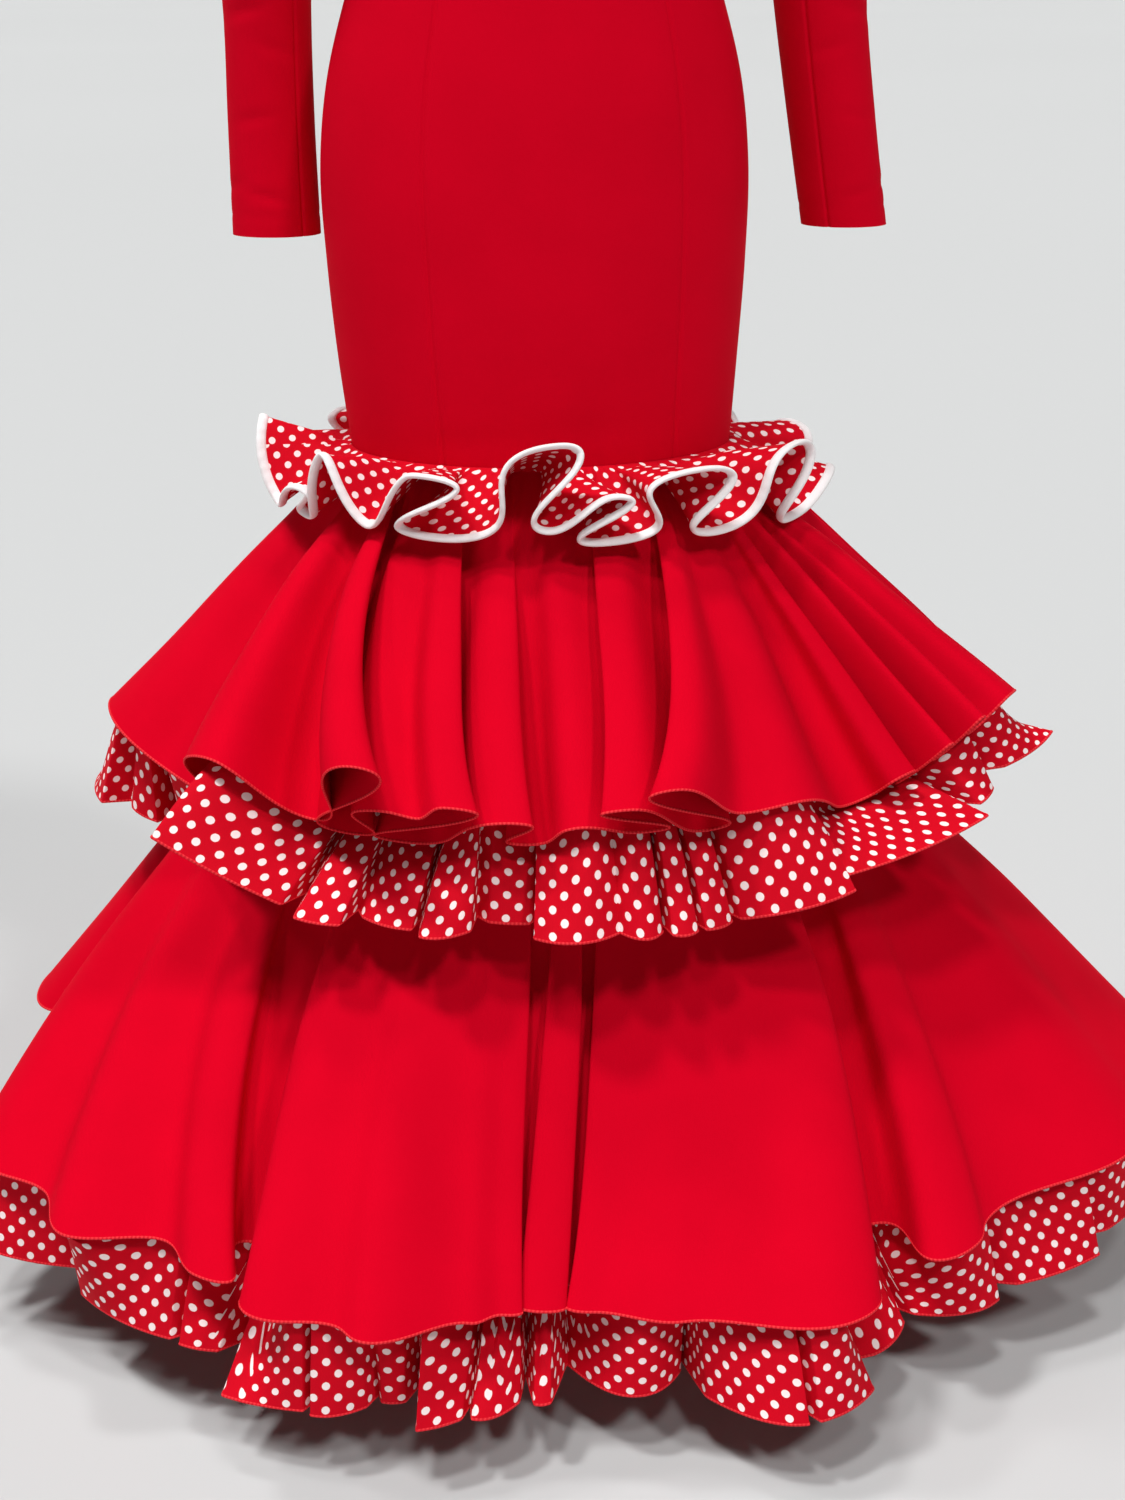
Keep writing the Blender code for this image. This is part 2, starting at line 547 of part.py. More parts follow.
def polar(azimuth, reach, height, drift):
    angle = np.radians(azimuth)
    return np.stack([drift + reach * np.sin(angle), -reach * np.cos(angle),
                     height - SHOULDER_LINE + 0.0 * angle], -1)


def fold_line(rows):
    """One closed wave through every crest and trough: azimuths, values and places at the seam."""
    azimuths = []
    values = []
    starts = []
    phase = np.pi * np.arange(FLANK_SAMPLES) / FLANK_SAMPLES
    blend = 0.5 * (1.0 - np.cos(phase))
    share = phase / np.pi
    overhang = np.sin(2 * phase)
    for row, following in zip(rows, rows[1:] + rows[:1]):
        crest_at, crest, trough_at, trough, _, roll_after, start_at = row
        next_at, next_crest, _, _, roll_before, _, next_start = following
        if next_at < crest_at:
            next_at += 360.0
            next_start += 360.0
        azimuths.append(crest_at + (trough_at - crest_at) * share + roll_after * overhang)
        values.append(crest + (trough - crest) * blend)
        azimuths.append(trough_at + (next_at - trough_at) * share + roll_before * overhang)
        values.append(trough + (next_crest - trough) * blend)
        starts.append(np.linspace(start_at, next_start, 2 * FLANK_SAMPLES, endpoint=False))
    azimuths = np.concatenate(azimuths + [[rows[0][0] + 360.0]])
    values = np.concatenate(values + [[rows[0][1]]])
    starts = np.concatenate(starts + [[rows[0][6] + 360.0]])
    return azimuths, values, starts


def even_spacing(lines, across, along):
    """Spaces a line's samples evenly, closer where it bends. Its first two rows are the azimuth and
    the value that it bends in; across and along are their sizes in metres."""
    steps = np.hypot(np.diff(lines[0]) * across, np.diff(lines[1]) * along)
    heading = np.unwrap(np.arctan2(np.diff(lines[1]) * along, np.diff(lines[0]) * across))
    bend = np.abs(np.diff(heading, append=heading[-1]))
    steps = steps + BEND_SPACE * bend
    run = np.concatenate([[0.0], np.cumsum(steps)])
    even = np.linspace(0.0, run[-1], SAMPLES + 1)
    return [np.interp(even, run, line) for line in lines]


def seam_line(azimuths, share):
    """A line of azimuths round the cloth, evened out over one share of so many."""
    trend = np.linspace(azimuths[0], azimuths[0] + 360.0, SAMPLES + 1)
    sway = (azimuths - trend)[:-1]
    window = SAMPLES // share
    kernel = np.ones(window) / window
    for _ in range(2):
        wrapped = np.concatenate([sway[-window:], sway, sway[:window]])
        sway = np.convolve(wrapped, kernel, mode="same")[window:-window]
    return trend + np.append(sway, sway[0])


class Layer:
    """A gathered ring of cloth: its seam ring, its hem's fold line, and how the folds grow."""

    def __init__(self, ring, azimuths, steeps, starts, lengths, top_steep, grown, early):
        self.ring = ring
        self.shares = np.linspace(0.0, 1.0, SAMPLES + 1)
        self.hem_at = azimuths
        self.even_at = seam_line(azimuths, FOLDS_EVEN_OUT)
        self.seam_at = seam_line(starts, STARTS_EVEN_OUT)
        self.steeps = steeps
        self.lengths = lengths
        self.top_steep = top_steep
        self.grown = grown
        self.early = early

    def read(self, values, share, turn=0.0):
        whole = np.floor(share)
        return np.interp(share - whole, self.shares, values) + turn * whole

    def point(self, share, down):
        """The layer's outer surface: share round the cloth, down from the seam to the hem at 1."""
        seam_at = self.read(self.seam_at, share, 360.0)
        even_at = self.read(self.even_at, share, 360.0)
        hem_at = self.read(self.hem_at, share, 360.0)
        folded = down * (1.0 + self.early * (1.0 - down) ** 2)
        azimuth = seam_at + (even_at - seam_at) * down + (hem_at - even_at) * folded
        growth = np.sin(np.clip(down / self.grown, 0.0, 1.0) * np.pi / 2)
        steep = self.top_steep + (self.read(self.steeps, share) - self.top_steep) * growth
        length = self.read(self.lengths, share) * down
        reach = ring_radius(self.ring, azimuth) + length * np.cos(np.radians(steep))
        height = self.ring[2] - length * np.sin(np.radians(steep))
        drift = self.ring[3] + (HEM_DRIFT - self.ring[3]) * down
        return polar(azimuth, reach, height, drift)

    def share_at(self, azimuth):
        """Share of the cloth whose seam lies at an azimuth."""
        start = self.seam_at[0]
        turn = math.floor((azimuth - start) / 360.0)
        return float(np.interp(azimuth - 360.0 * turn, self.seam_at, self.shares)) + turn


def layer_from_steeps(ring, rows, length, top_steep, grown, early):
    azimuths, steeps, starts = fold_line(rows)
    reach = ring_radius(ring, 45.0) + STANDS_OUT * length
    azimuths, steeps, starts = even_spacing((azimuths, steeps, starts), math.radians(reach),
                                            math.radians(length))
    return Layer(ring, azimuths, steeps, starts, np.full(SAMPLES + 1, length), top_steep, grown, early)


def layer_from_reaches(ring, rows, top_steep, grown, early):
    azimuths, reaches, starts = fold_line(rows)
    across = math.radians(np.mean(reaches))
    azimuths, reaches, starts = even_spacing((azimuths, reaches, starts), across, 1.0)
    rise = np.sin(np.radians(azimuths)) ** 2
    hem = LOWER_HEM_FRONT + (LOWER_HEM_SIDES - LOWER_HEM_FRONT) * rise
    out = reaches - ring_radius(ring, azimuths)
    drop = ring[2] - hem
    steeps = np.degrees(np.arctan2(drop, out))
    return Layer(ring, azimuths, steeps, starts, np.hypot(out, drop), top_steep, grown, early)


def grown_ring(ring, out, up):
    """A ring moved out and up by a seam's layers."""
    return (ring[0] + out, ring[1] + out, ring[2] + up, ring[3])


def layer_wall(name, layer, half, columns, downs, cloth, thickness=WALL, outward=0.0):
    """Half of a layer, front or back, as a wall; outward moves its outer side off the surface."""
    first = {"front": -90.0, "back": 90.0}[half]
    shares = np.linspace(layer.share_at(first), layer.share_at(first + 180.0), columns + 1)
    gap = 0.5 * GAP / (np.pi * (layer.ring[0] + layer.ring[1]))
    shares[0] += GAP_EASE * gap
    shares[-1] -= GAP_EASE * gap
    share, down = np.meshgrid(shares, np.array(downs))
    facing = -normals(layer.point, share, down, SHARE_STEP, DOWN_STEP)
    outer = layer.point(share, down) + outward * facing
    return wall(name, outer, outer - thickness * facing, cloth)


def make_layer(name, layer, columns, downs, cloth, **walls):
    for half in ("front", "back"):
        layer_wall(name + "_" + half, layer, half, columns, downs, cloth, **walls)


def smooth_round(values, spread):
    """Moving average of values held every half degree all round, over spread degrees each way."""
    reach = int(round(spread / 0.5))
    wrapped = np.concatenate([values[-reach:], values, values[:reach]])
    kernel = np.ones(2 * reach + 1) / (2 * reach + 1)
    return np.convolve(wrapped, kernel, mode="valid")


def panel_line(panels):
    """A ruffle's hem as one closed smooth line: azimuths, reaches and heights along it."""
    table = np.array(panels, float)
    left = table[:, 0:3]
    right = table[:, 3:6]
    groove = np.column_stack([table[:, 7:9], 0.5 * (right[:, 2] + np.roll(left[:, 2], -1))])
    swell = table[:, 6:7] * (0.0, 1.0, 0.0)
    near = left + SWELL_BEGINS * (right - left) + swell
    far = right - SWELL_BEGINS * (right - left) + swell
    corners = np.stack([left, left, near, far, right, right, groove, groove], 1).reshape(-1, 3)
    turn = np.array([360.0, 0.0, 0.0])
    corners = np.concatenate([corners[-1:] - turn, corners, corners[:3] + turn])
    t = np.linspace(0.0, 1.0, PANEL_STEPS, endpoint=False)
    weights = np.stack([(1 - t) ** 3, 3 * t ** 3 - 6 * t ** 2 + 4, -3 * t ** 3 + 3 * t ** 2 + 3 * t + 1,
                        t ** 3]) / 6.0
    pulls = np.stack([corners[k:len(corners) - 3 + k] for k in range(4)])
    line = np.einsum("ks,kic->isc", weights, pulls).reshape(-1, 3)
    line = line[:len(line) - PANEL_STEPS + 1]
    return line[:, 0], 0.001 * line[:, 1], 0.001 * line[:, 2]


class Ruffle:
    """A gathered strip sewn under a layer: it hangs inside the layer's folds and shows below them."""

    def __init__(self, layer, sewn_at, panels):
        self.layer = layer
        self.sewn_at = sewn_at
        self.shares = layer.shares
        line = panel_line(panels)
        line = even_spacing(line, math.radians(float(np.mean(line[1]))), 1.0)
        self.hem_at, self.reaches, self.heights = line
        self.seam_at = seam_line(self.hem_at, RUFFLE_EVENS_OUT)
        self.azimuths = np.arange(0.0, 360.0, 0.5)
        self.length = float(np.mean(layer.lengths))
        self.sewn_steep = self.inside(sewn_at)
        self.hem_steep = self.inside(1.0) + math.degrees((WALL + RUFFLE_HANG) / self.length)
        away = np.abs((self.hem_at[None, :] - self.azimuths[:, None] + 180.0) % 360.0 - 180.0)
        outermost = np.where(away < RUFFLE_EVENS, self.reaches[None, :], 0.0).max(axis=1)
        outermost = smooth_round(outermost, RUFFLE_EVENS)
        depth = np.interp(self.hem_at % 360.0, self.azimuths, outermost, period=360.0) - self.reaches
        self.inward = GROOVE_DEPTH * np.tanh(np.maximum(depth, 0.0) / GROOVE_DEPTH)

    read = Layer.read
    share_at = Layer.share_at

    def inside(self, down):
        """Steepness of the layer's innermost fold at each azimuth, at one level down."""
        share = np.linspace(0.0, 1.0, SAMPLES, endpoint=False)
        points = self.layer.point(share, np.full(SAMPLES, down))
        drift = self.layer.ring[3] + (HEM_DRIFT - self.layer.ring[3]) * down
        x = points[:, 0] - drift
        azimuth = np.degrees(np.arctan2(x, -points[:, 1])) % 360.0
        out = np.hypot(x, points[:, 1]) - ring_radius(self.layer.ring, azimuth)
        drop = self.layer.ring[2] - SHOULDER_LINE - points[:, 2]
        steep = np.degrees(np.arctan2(drop, out))
        away = np.abs((azimuth[None, :] - self.azimuths[:, None] + 180.0) % 360.0 - 180.0)
        deepest = np.where(away < RUFFLE_SPREAD, steep[None, :], -90.0).max(axis=1)
        return smooth_round(deepest, RUFFLE_SPREAD)

    def length_at(self, azimuth):
        """The layer's length by azimuth, along its hem."""
        around = self.layer.hem_at[:-1] % 360.0
        order = np.argsort(around)
        return np.interp(azimuth % 360.0, around[order], self.layer.lengths[:-1][order], period=360.0)

    def point(self, share, down):
        """The ruffle's outer surface: down from its seam to the flounce's hem at 1 and its own at 2."""
        fold = np.clip((down - self.sewn_at) / (1.0 - self.sewn_at), 0.0, 1.0)
        past = np.clip(down - 1.0, 0.0, 1.0)
        seam_at = self.read(self.seam_at, share, 360.0)
        azimuth = seam_at + (self.read(self.hem_at, share, 360.0) - seam_at) * fold
        around = azimuth % 360.0
        sewn = np.interp(around, self.azimuths, self.sewn_steep, period=360.0)
        hem = np.interp(around, self.azimuths, self.hem_steep, period=360.0)
        seat = math.degrees((WALL + RUFFLE_SEAT) / (self.length * self.sewn_at))
        steep = sewn + seat + (hem - sewn - seat) * fold
        run = self.length_at(around) * np.minimum(down, 1.0)
        inward = self.read(self.inward, share) * (GROOVE_AT_SEAM + (GROOVE_AT_HEM - GROOVE_AT_SEAM) * fold)
        reach = ring_radius(self.layer.ring, azimuth) + run * np.cos(np.radians(steep)) - inward
        height = self.layer.ring[2] - run * np.sin(np.radians(steep))
        reach = reach + (self.read(self.reaches, share) - reach) * past
        height = height + (self.read(self.heights, share) - height) * past ** RUFFLE_CURVE
        drift = self.layer.ring[3] + (HEM_DRIFT - self.layer.ring[3]) * np.minimum(down, 1.0)
        return polar(azimuth, reach, height, drift)


def make_ruffle(name, ruffle, columns, cloth):
    downs = np.array((ruffle.sewn_at, 1.0, 2.0))
    gap = GAP / (2.0 * np.pi * (ruffle.layer.ring[0] + STANDS_OUT * ruffle.length))
    for half, first in (("front", -90.0), ("back", 90.0)):
        shares = np.linspace(ruffle.share_at(first) + gap, ruffle.share_at(first + 180.0) - gap,
                             columns[half] + 1)
        share, down = np.meshgrid(shares, downs)
        facing = -normals(ruffle.point, share, down, SHARE_STEP, DOWN_STEP)
        outer = ruffle.point(share, down)
        wall(name + "_" + half, outer, outer - WALL * facing, cloth)


def make_base_skirt(cloth):
    """The plain skirt that goes on from the sheath, inside, down to the lower flounce's seam."""
    shares = (0.0, 0.34, 0.67, 1.0)
    top = grown_ring(SHEATH_RING, -0.0005, -GAP)

    def surface(azimuth, down):
        radius = ring_radius(top, azimuth) * (1.0 - down) + ring_radius(BASE_RING, azimuth) * down
        height = top[2] + (BASE_RING[2] - top[2]) * down
        return polar(azimuth, radius, height, top[3] + (BASE_RING[3] - top[3]) * down)

    for half, first in (("front", -90.0), ("back", 90.0)):
        gap = GAP_EASE * math.degrees(0.5 * GAP / top[0])
        azimuths = np.linspace(first + gap, first + 180.0 - gap, BASE_COLUMNS_HALF + 1)
        azimuth, down = np.meshgrid(azimuths, np.array(shares))
        outer = surface(azimuth, down)
        inner = outer + WALL * normals(surface, azimuth, down, 0.5, 0.01)
        wall("base_skirt_" + half, outer, inner, cloth)


def make_skirt(red, dotted, white):
    make_base_skirt(red)
    upper = layer_from_steeps(grown_ring(SHEATH_RING, 0.0017, -0.0015), UPPER_FOLDS, UPPER_LENGTH,
                              UPPER_TOP_STEEP, UPPER_GROWN, FOLDS_EARLY)
    make_layer("flounce_upper", upper, UPPER_COLUMNS_HALF, UPPER_STEPS, red)
    make_ruffle("dot_ruffle_upper", Ruffle(upper, UPPER_SEWN_AT, UPPER_PANELS), UPPER_RUFFLE_COLUMNS, dotted)
    lower = layer_from_reaches(grown_ring(BASE_RING, 0.0010, 0.0015), LOWER_FOLDS,
                               LOWER_TOP_STEEP, LOWER_GROWN, FOLDS_EARLY)
    make_layer("flounce_lower", lower, LOWER_COLUMNS_HALF, LOWER_STEPS, red)
    make_ruffle("dot_ruffle_lower", Ruffle(lower, LOWER_SEWN_AT, LOWER_PANELS), LOWER_RUFFLE_COLUMNS, dotted)
    bound = layer_from_steeps(grown_ring(SHEATH_RING, 0.0006, 0.0016), BOUND_FOLDS, BOUND_LENGTH,
                              BOUND_TOP_STEEP, BOUND_GROWN, BOUND_EARLY)
    cloth_end = 1.0 - BINDING_DEPTH / BOUND_LENGTH
    make_layer("bound_ruffle", bound, BOUND_COLUMNS_HALF, [cloth_end * step for step in BOUND_STEPS],
               dotted)
    binding = (cloth_end + 2.0 * GAP / BOUND_LENGTH, 1.0)
    make_layer("binding", bound, BOUND_COLUMNS_HALF, binding, white,
               thickness=BINDING_THICKNESS, outward=0.5 * (BINDING_THICKNESS - WALL))


# ---- zip pull ----

def centre_back(height):
    """A point on the centre-back seam above the armpit, the way down the seam and its facing."""
    top = float(neck_lift(np.array([180.0]))[0])
    rows = body(180.0, LIFTED + np.array((0.0,) + SHOULDER_LIFTS) * top / 90.0)
    level = height - SHOULDER_LINE
    row = int(np.clip(np.searchsorted(rows[:, 2], level) - 1, 0, len(rows) - 2))
    above = Vector(rows[row + 1])
    below = Vector(rows[row])
    down = (below - above).normalized()
    across = Vector((1.0, 0.0, 0.0))
    here = above + (below - above) * ((above.z - level) / (above.z - below.z))
    return here, down, across.cross(down).normalized()


def finish_solid(name, shape, frame, metal):
    bmesh.ops.recalc_face_normals(shape, faces=shape.faces)
    shape.transform(frame)
    mesh = bpy.data.meshes.new(name)
    shape.to_mesh(mesh)
    shape.free()
    mesh.shade_smooth()
    mesh.set_sharp_from_angle(angle=math.radians(40))
    piece = bpy.data.objects.new(name, mesh)
    piece.data.materials.append(metal)
    bpy.context.scene.collection.objects.link(piece)
    return piece


def add_box(shape, low, high):
    size = Vector(high) - Vector(low)
    middle = (Vector(high) + Vector(low)) / 2
    scale = Matrix.Diagonal((*size, 1.0))
    bmesh.ops.create_cube(shape, size=1.0, matrix=Matrix.Translation(middle) @ scale)


def make_zip(metal):
    """Slider and pull in the seam's own frame: X across, Y down the seam, Z off the cloth."""
    here, down, facing = centre_back(ZIP_HEIGHT)
    across = down.cross(facing).normalized()
    frame = Matrix((
        (across.x, down.x, facing.x, here.x),
        (across.y, down.y, facing.y, here.y),
        (across.z, down.z, facing.z, here.z),
        (0.0, 0.0, 0.0, 1.0),
    ))
    width, length, height = SLIDER_SIZE
    face = GAP + height
    bar = face + BAR_STAND
    profile = []
    # Side outline of one cheek of the bridge, over the whole slider's length.
    for along, off in ((-0.5, 0.0), (0.5, 0.0), (0.5, 0.75), (0.36, 1.0), (-0.36, 1.0), (-0.5, 0.75)):
        profile.append((along * length, GAP + off * height))
    shape = bmesh.new()
    ends = []
    for x in (-0.5 * width, 0.5 * width):
        ends.append([shape.verts.new((x, y, z)) for y, z in profile])
    shape.faces.new(ends[0])
    shape.faces.new(list(reversed(ends[1])))
    for i in range(len(profile)):
        j = (i + 1) % len(profile)
        shape.faces.new((ends[0][j], ends[0][i], ends[1][i], ends[1][j]))
    slider = finish_solid("zip_slider", shape, Matrix.Identity(4), metal)
    cheek = 0.0009
    pieces = []
    for side in (-1, 1):
        shape = bmesh.new()
        x = side * 0.5 * width
        add_box(shape, (min(x, x - side * cheek), -0.0012, face - 0.0004),
                (max(x, x - side * cheek), 0.0012, bar + 0.0012))
        pieces.append(finish_solid("cheek", shape, Matrix.Identity(4), metal))
    shape = bmesh.new()
    turn = Matrix.Translation((0.0, 0.0, bar)) @ Matrix.Rotation(math.pi / 2, 4, "Y")
    bmesh.ops.create_cone(shape, cap_ends=True, segments=8, radius1=BAR_RADIUS, radius2=BAR_RADIUS,
                          depth=width - 0.0006, matrix=turn)
    pieces.append(finish_solid("bar", shape, Matrix.Identity(4), metal))
    for piece in pieces:
        join = slider.modifiers.new(piece.name, "BOOLEAN")
        join.operation = "UNION"
        join.object = piece
        piece.hide_render = True
        piece.display_type = "WIRE"
        piece.parent = slider
    slider.matrix_world = frame

    # The pull lies down the seam at rest, with its eye round the bar.
    shape = bmesh.new()
    ring = 12
    eye_half = 0.5 * (width - 2 * cheek) - 0.0003
    for x in (-eye_half, eye_half):
        for radius in (EYE_RADIUS, EYE_HOLE):
            for step in range(ring):
                angle = 2 * math.pi * step / ring
                shape.verts.new((x, radius * math.cos(angle), radius * math.sin(angle)))
    shape.verts.ensure_lookup_table()
    for step in range(ring):
        after = (step + 1) % ring
        left_out, left_in = shape.verts[step], shape.verts[ring + step]
        left_out_b, left_in_b = shape.verts[after], shape.verts[ring + after]
        right_out, right_in = shape.verts[2 * ring + step], shape.verts[3 * ring + step]
        right_out_b, right_in_b = shape.verts[2 * ring + after], shape.verts[3 * ring + after]
        shape.faces.new((left_out, left_out_b, left_in_b, left_in))
        shape.faces.new((right_out_b, right_out, right_in, right_in_b))
        shape.faces.new((left_out_b, left_out, right_out, right_out_b))
        shape.faces.new((left_in, left_in_b, right_in_b, right_in))
    pull = finish_solid("zip_pull", shape, Matrix.Identity(4), metal)
    shape = bmesh.new()
    outline = []
    for along, half in ((0.060, 0.30), (0.22, 0.34), (0.62, 0.50), (0.86, 0.50), (1.0, 0.26)):
        outline.append((half * PULL_WIDTH, along * PULL_LENGTH))
    outline += [(-x, y) for x, y in reversed(outline)]
    low = [shape.verts.new((x, y, -0.5 * PULL_THICKNESS)) for x, y in outline]
    high = [shape.verts.new((x, y, 0.5 * PULL_THICKNESS)) for x, y in outline]
    shape.faces.new(low)
    shape.faces.new(list(reversed(high)))
    for i in range(len(outline)):
        j = (i + 1) % len(outline)
        shape.faces.new((low[j], low[i], high[i], high[j]))
    blade = finish_solid("blade", shape, Matrix.Identity(4), metal)
    blade.hide_render = True
    blade.display_type = "WIRE"
    join = pull.modifiers.new("blade", "BOOLEAN")
    join.operation = "UNION"
    join.object = blade
    blade.parent = pull
    # It rests on the cloth, so it tilts by what the back rounds out under it.
    tilt = 0.0
    clear = 2.0 * GAP + 0.5 * PULL_THICKNESS
    for step in range(1, 25):
        height = ZIP_HEIGHT - 1.1 * PULL_LENGTH * step / 24
        point = frame.inverted() @ centre_back(height)[0]
        if point.y > 0.003:
            tilt = max(tilt, math.atan2(point.z + clear - bar, point.y))
    lift = Matrix.Rotation(tilt, 4, "X")
    pull.matrix_world = frame @ Matrix.Translation((0.0, 0.0, bar)) @ lift


start_clean()
RED = material("red crepe", (0.60, 0.002, 0.010), 0.62)
DOTTED = material("dotted red crepe", (0.75, 0.06, 0.07), 0.60)
WHITE = material("white binding", (0.85, 0.82, 0.82), 0.70)
METAL = material("red enamelled zip", (0.45, 0.003, 0.010), 0.35, 0.3)
make_sheath(RED)
make_sleeves(RED)
make_skirt(RED, DOTTED, WHITE)
make_zip(METAL)
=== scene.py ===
"""The looks of a flamenco dress: red crepe sheath and flounces, dotted ruffles, white binding."""
import math

import bpy
import numpy as np
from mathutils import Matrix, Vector


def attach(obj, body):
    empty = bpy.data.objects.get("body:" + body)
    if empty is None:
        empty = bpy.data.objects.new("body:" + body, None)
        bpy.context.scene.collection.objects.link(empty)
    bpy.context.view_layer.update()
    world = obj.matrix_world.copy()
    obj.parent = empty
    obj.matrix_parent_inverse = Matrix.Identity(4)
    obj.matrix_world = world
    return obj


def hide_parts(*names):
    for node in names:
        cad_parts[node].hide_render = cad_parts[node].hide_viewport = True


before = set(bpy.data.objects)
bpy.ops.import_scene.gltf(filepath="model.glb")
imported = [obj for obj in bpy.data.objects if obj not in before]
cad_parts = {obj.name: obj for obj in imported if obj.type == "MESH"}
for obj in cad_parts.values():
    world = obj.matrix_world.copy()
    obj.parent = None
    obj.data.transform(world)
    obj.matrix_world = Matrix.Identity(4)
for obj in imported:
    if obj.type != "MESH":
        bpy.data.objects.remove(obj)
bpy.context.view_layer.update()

# ---- Camera, floor and light ----
# The dress is seen from just left of its middle and a little above the hips. It stands over a pale
# floor under a ceiling of soft lamps in rows, most of them before it and to the left.

CAMERA_TURN = math.radians(-9)   # about the dress, to its left
CAMERA_TILT = math.radians(19)   # downwards
CAMERA_DISTANCE = 1.96
CAMERA_ASIDE = 0.022
CAMERA_HEIGHT = -0.44            # from the shoulder line, where the frame has its origin
LENS_MM = 55.2
SENSOR_MM = 36.0

camera_data = bpy.data.cameras.new("camera")
camera_data.sensor_width = SENSOR_MM
camera_data.lens = LENS_MM
camera = bpy.data.objects.new("camera", camera_data)
bpy.context.scene.collection.objects.link(camera)
bpy.context.scene.camera = camera
aside = Vector((math.cos(CAMERA_TURN), math.sin(CAMERA_TURN), 0))
ahead = Vector((-math.sin(CAMERA_TURN), math.cos(CAMERA_TURN), 0))
camera.location = aside * CAMERA_ASIDE - ahead * CAMERA_DISTANCE
camera.location.z = CAMERA_HEIGHT
sight = ahead * math.cos(CAMERA_TILT) - Vector((0, 0, math.sin(CAMERA_TILT)))
camera.rotation_euler = sight.to_track_quat("-Z", "Y").to_euler()


def hex_colour(code):
    """An sRGB hex colour as linear red, green, blue and alpha."""
    channels = [int(code[i:i + 2], 16) / 255 for i in (1, 3, 5)]
    return [c / 12.92 if c <= 0.04045 else ((c + 0.055) / 1.055) ** 2.4 for c in channels] + [1.0]


def add_node(tree, kind, settings=None, inputs=None):
    """Adds one node. An input is a value, or another node's output socket."""
    made = tree.nodes.new(kind)
    for name, value in (settings or {}).items():
        setattr(made, name, value)
    for name, value in (inputs or {}).items():
        if isinstance(value, bpy.types.NodeSocket):
            tree.links.new(value, made.inputs[name])
        else:
            made.inputs[name].default_value = value
    return made


def new_material(name):
    """A material with its Principled shader, and the tree that they are in."""
    made = bpy.data.materials.new(name)
    made.use_nodes = True
    return made, made.node_tree, made.node_tree.nodes["Principled BSDF"]


FLOOR_SIZE = 400.0               # so wide that its far edge is lost between the walls
FLOOR_LEVEL = -1.535             # the lowest hem hangs 46 mm clear of it
FLOOR_DUST_MM = 30.0

# Matt floor paint, rolled on: next to no shine, and faint clouds where it is dusty.
painted_floor, tree, shader = new_material("painted_floor")
dust = add_node(tree, "ShaderNodeTexNoise", inputs={"Scale": 1000 / FLOOR_DUST_MM, "Detail": 2.0})
tint = add_node(tree, "ShaderNodeMix", {"data_type": "RGBA"},
                {"Factor": dust.outputs["Fac"], "A": hex_colour("#C4C5C5"),
                 "B": hex_colour("#C8C9C9")})
tree.links.new(tint.outputs["Result"], shader.inputs["Base Color"])
shader.inputs["Roughness"].default_value = 0.9
shader.inputs["Specular IOR Level"].default_value = 0.1

half = FLOOR_SIZE / 2
floor_mesh = bpy.data.meshes.new("floor")
floor_mesh.from_pydata([(-half, -half, FLOOR_LEVEL), (half, -half, FLOOR_LEVEL),
                        (half, half, FLOOR_LEVEL), (-half, half, FLOOR_LEVEL)], [], [(0, 1, 2, 3)])
floor = bpy.data.objects.new("floor", floor_mesh)
floor.data.materials.append(painted_floor)
bpy.context.scene.collection.objects.link(floor)

ROOM_COLOUR = "#F1F1EF"
WALL_STRENGTH = 0.76             # the room's pale walls, seen low down all round
CEILING_STRENGTH = 0.03          # the dark ceiling that the lamps hang from
WALL_FADES = (0.09, 0.30)        # heights, as sines, between which the one becomes the other
LAMP_SOFTNESS = math.radians(7)
# Each row is one of the ceiling's lamps: the degrees that it stands towards the camera and to the
# left of straight overhead, and its strength.
LAMPS = (
    (35, -25, 0.85),
    (35, 0, 0.46),
    (20, 12, 0.93),
    (5, 22, 1.26),
    (-12, 34, 0.42),
    (-12, 8, 0.58),
)

room = bpy.data.worlds.new("pale_room")
bpy.context.scene.world = room
room.use_nodes = True
tree = room.node_tree
tree.nodes["Background"].inputs["Color"].default_value = hex_colour(ROOM_COLOUR)
direction = add_node(tree, "ShaderNodeTexCoord")
parts = add_node(tree, "ShaderNodeSeparateXYZ", inputs={"Vector": direction.outputs["Generated"]})
fade = add_node(tree, "ShaderNodeMapRange", {"interpolation_type": "SMOOTHSTEP"},
                {"Value": parts.outputs["Z"], "From Min": WALL_FADES[0], "From Max": WALL_FADES[1],
                 "To Min": WALL_STRENGTH, "To Max": CEILING_STRENGTH})
tree.links.new(fade.outputs["Result"], tree.nodes["Background"].inputs["Strength"])
for number, (towards, left, strength) in enumerate(LAMPS):
    # A sun lamp shines one way all over, as a wide ceiling lamp does on something this small.
    lamp_data = bpy.data.lights.new(f"ceiling_lamp_{number}", "SUN")
    lamp_data.energy = strength
    lamp_data.angle = LAMP_SOFTNESS
    lamp = bpy.data.objects.new(f"ceiling_lamp_{number}", lamp_data)
    lamp.rotation_euler = (math.radians(towards), math.radians(-left), 0)
    bpy.context.scene.collection.objects.link(lamp)
bpy.context.scene.view_settings.view_transform = "Standard"

# ---- Sheath ----
# Seven princess panels of matte polyester crepe, cut to the figure and sewn edge to edge with the
# seams pressed flat, so that each seam is a shallow groove. The zip is hidden in the back seam.

